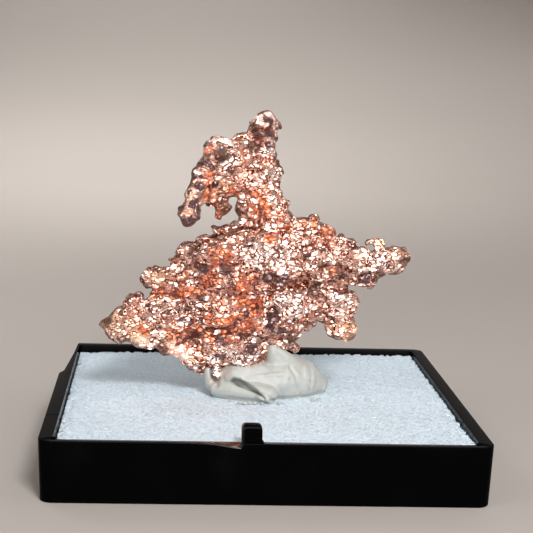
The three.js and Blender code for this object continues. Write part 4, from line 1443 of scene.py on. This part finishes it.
def turned_sheet(flat, bend):
    """A round floor that bends up into a wall all round, in millimetres."""
    bm = bmesh.new()
    line = [bm.verts.new((0, 0, 0)), bm.verts.new((flat, 0, 0))]
    for i in range(1, BEND_STEPS + 1):
        turn = math.pi / 2 * i / BEND_STEPS
        line.append(bm.verts.new((flat + bend * math.sin(turn), 0, bend * (1 - math.cos(turn)))))
    edges = [bm.edges.new(pair) for pair in zip(line, line[1:])]
    bmesh.ops.spin(
        bm, geom=line + edges, cent=(0, 0, 0), axis=(0, 0, 1), angle=math.tau, steps=TURN_STEPS,
        use_merge=True,
    )
    bmesh.ops.remove_doubles(bm, verts=bm.verts, dist=0.01)
    bmesh.ops.recalc_face_normals(bm, faces=bm.faces)
    return bm


def add_camera(context, lens):
    """The camera, which the scene is seen through."""
    camera = bpy.data.objects.new("camera", bpy.data.cameras.new("camera"))
    camera.data.lens = lens
    camera.data.sensor_width = CAMERA_FILM
    camera.data.clip_start, camera.data.clip_end = CAMERA_NEAR, CAMERA_FAR
    camera.location = Vector(CAMERA_PLACE) * MM
    pan, tilt, roll = (
        Matrix.Rotation(math.radians(angle), 3, axis)
        for angle, axis in ((CAMERA_PAN, "Z"), (CAMERA_TILT, "X"), (CAMERA_ROLL, "Z"))
    )
    camera.rotation_euler = (pan @ tilt @ roll).to_euler()
    context.scene.collection.objects.link(camera)
    context.scene.camera = camera


class SPECIMEN_OT_stage(bpy.types.Operator):
    """Makes the backdrop, the lights and the camera"""

    bl_idname = "specimen.stage"
    bl_label = "Stage"

    def execute(self, context):
        settings = context.scene.stage_settings
        sheet = turned_sheet(mm(settings.floor_radius), mm(settings.bend_radius))
        backdrop = finished_object("backdrop", sheet, backdrop_material(settings))
        backdrop.visible_glossy = False
        for light in LIGHTS:
            add_light(*light)
        world = bpy.data.worlds.new("studio")
        context.scene.world = world
        world.use_nodes = True
        tree = world.node_tree
        glossy = add(tree, "ShaderNodeLightPath").outputs["Is Glossy Ray"]
        level = span(tree, glossy, 0.0, 1.0, settings.room_light, settings.room_reflection)
        background = tree.nodes["Background"]
        background.inputs["Color"].default_value = ROOM_COLOR
        tree.links.new(level, background.inputs["Strength"])
        add_camera(context, settings.lens)
        context.scene.view_settings.view_transform = "Standard"
        return {"FINISHED"}


# ---------------------------------------------------------------- panel and registration


class SPECIMEN_PT_panel(bpy.types.Panel):
    """Lists the specimen's parts"""

    bl_idname = "SPECIMEN_PT_panel"
    bl_label = "Copper Specimen"
    bl_space_type = "VIEW_3D"
    bl_region_type = "UI"
    bl_category = "Specimen"

    def draw(self, context):
        """Puts one button for each operator in the panel."""
        for operator in OPERATORS:
            self.layout.operator(operator.bl_idname)


OPERATORS = (SPECIMEN_OT_stage, SPECIMEN_OT_nugget, SPECIMEN_OT_putty, SPECIMEN_OT_foam, SPECIMEN_OT_tray)
SETTINGS = {
    "nugget_settings": NuggetSettings,
    "holder_settings": HolderSettings,
    "stage_settings": StageSettings,
}


def register():
    """Registers the classes and hangs the settings on the scene."""
    for cls in (*SETTINGS.values(), *OPERATORS, SPECIMEN_PT_panel):
        bpy.utils.register_class(cls)
    for name, cls in SETTINGS.items():
        setattr(bpy.types.Scene, name, PointerProperty(type=cls))


def unregister():
    """Takes the settings and the classes away again."""
    for name in SETTINGS:
        delattr(bpy.types.Scene, name)
    for cls in (SPECIMEN_PT_panel, *reversed(OPERATORS), *SETTINGS.values()):
        bpy.utils.unregister_class(cls)


def main():
    """Builds the whole specimen."""
    register()
    bpy.ops.specimen.stage()
    bpy.ops.specimen.tray()
    bpy.ops.specimen.foam()
    bpy.ops.specimen.putty()
    bpy.ops.specimen.nugget()


if __name__ == "__main__":
    main()
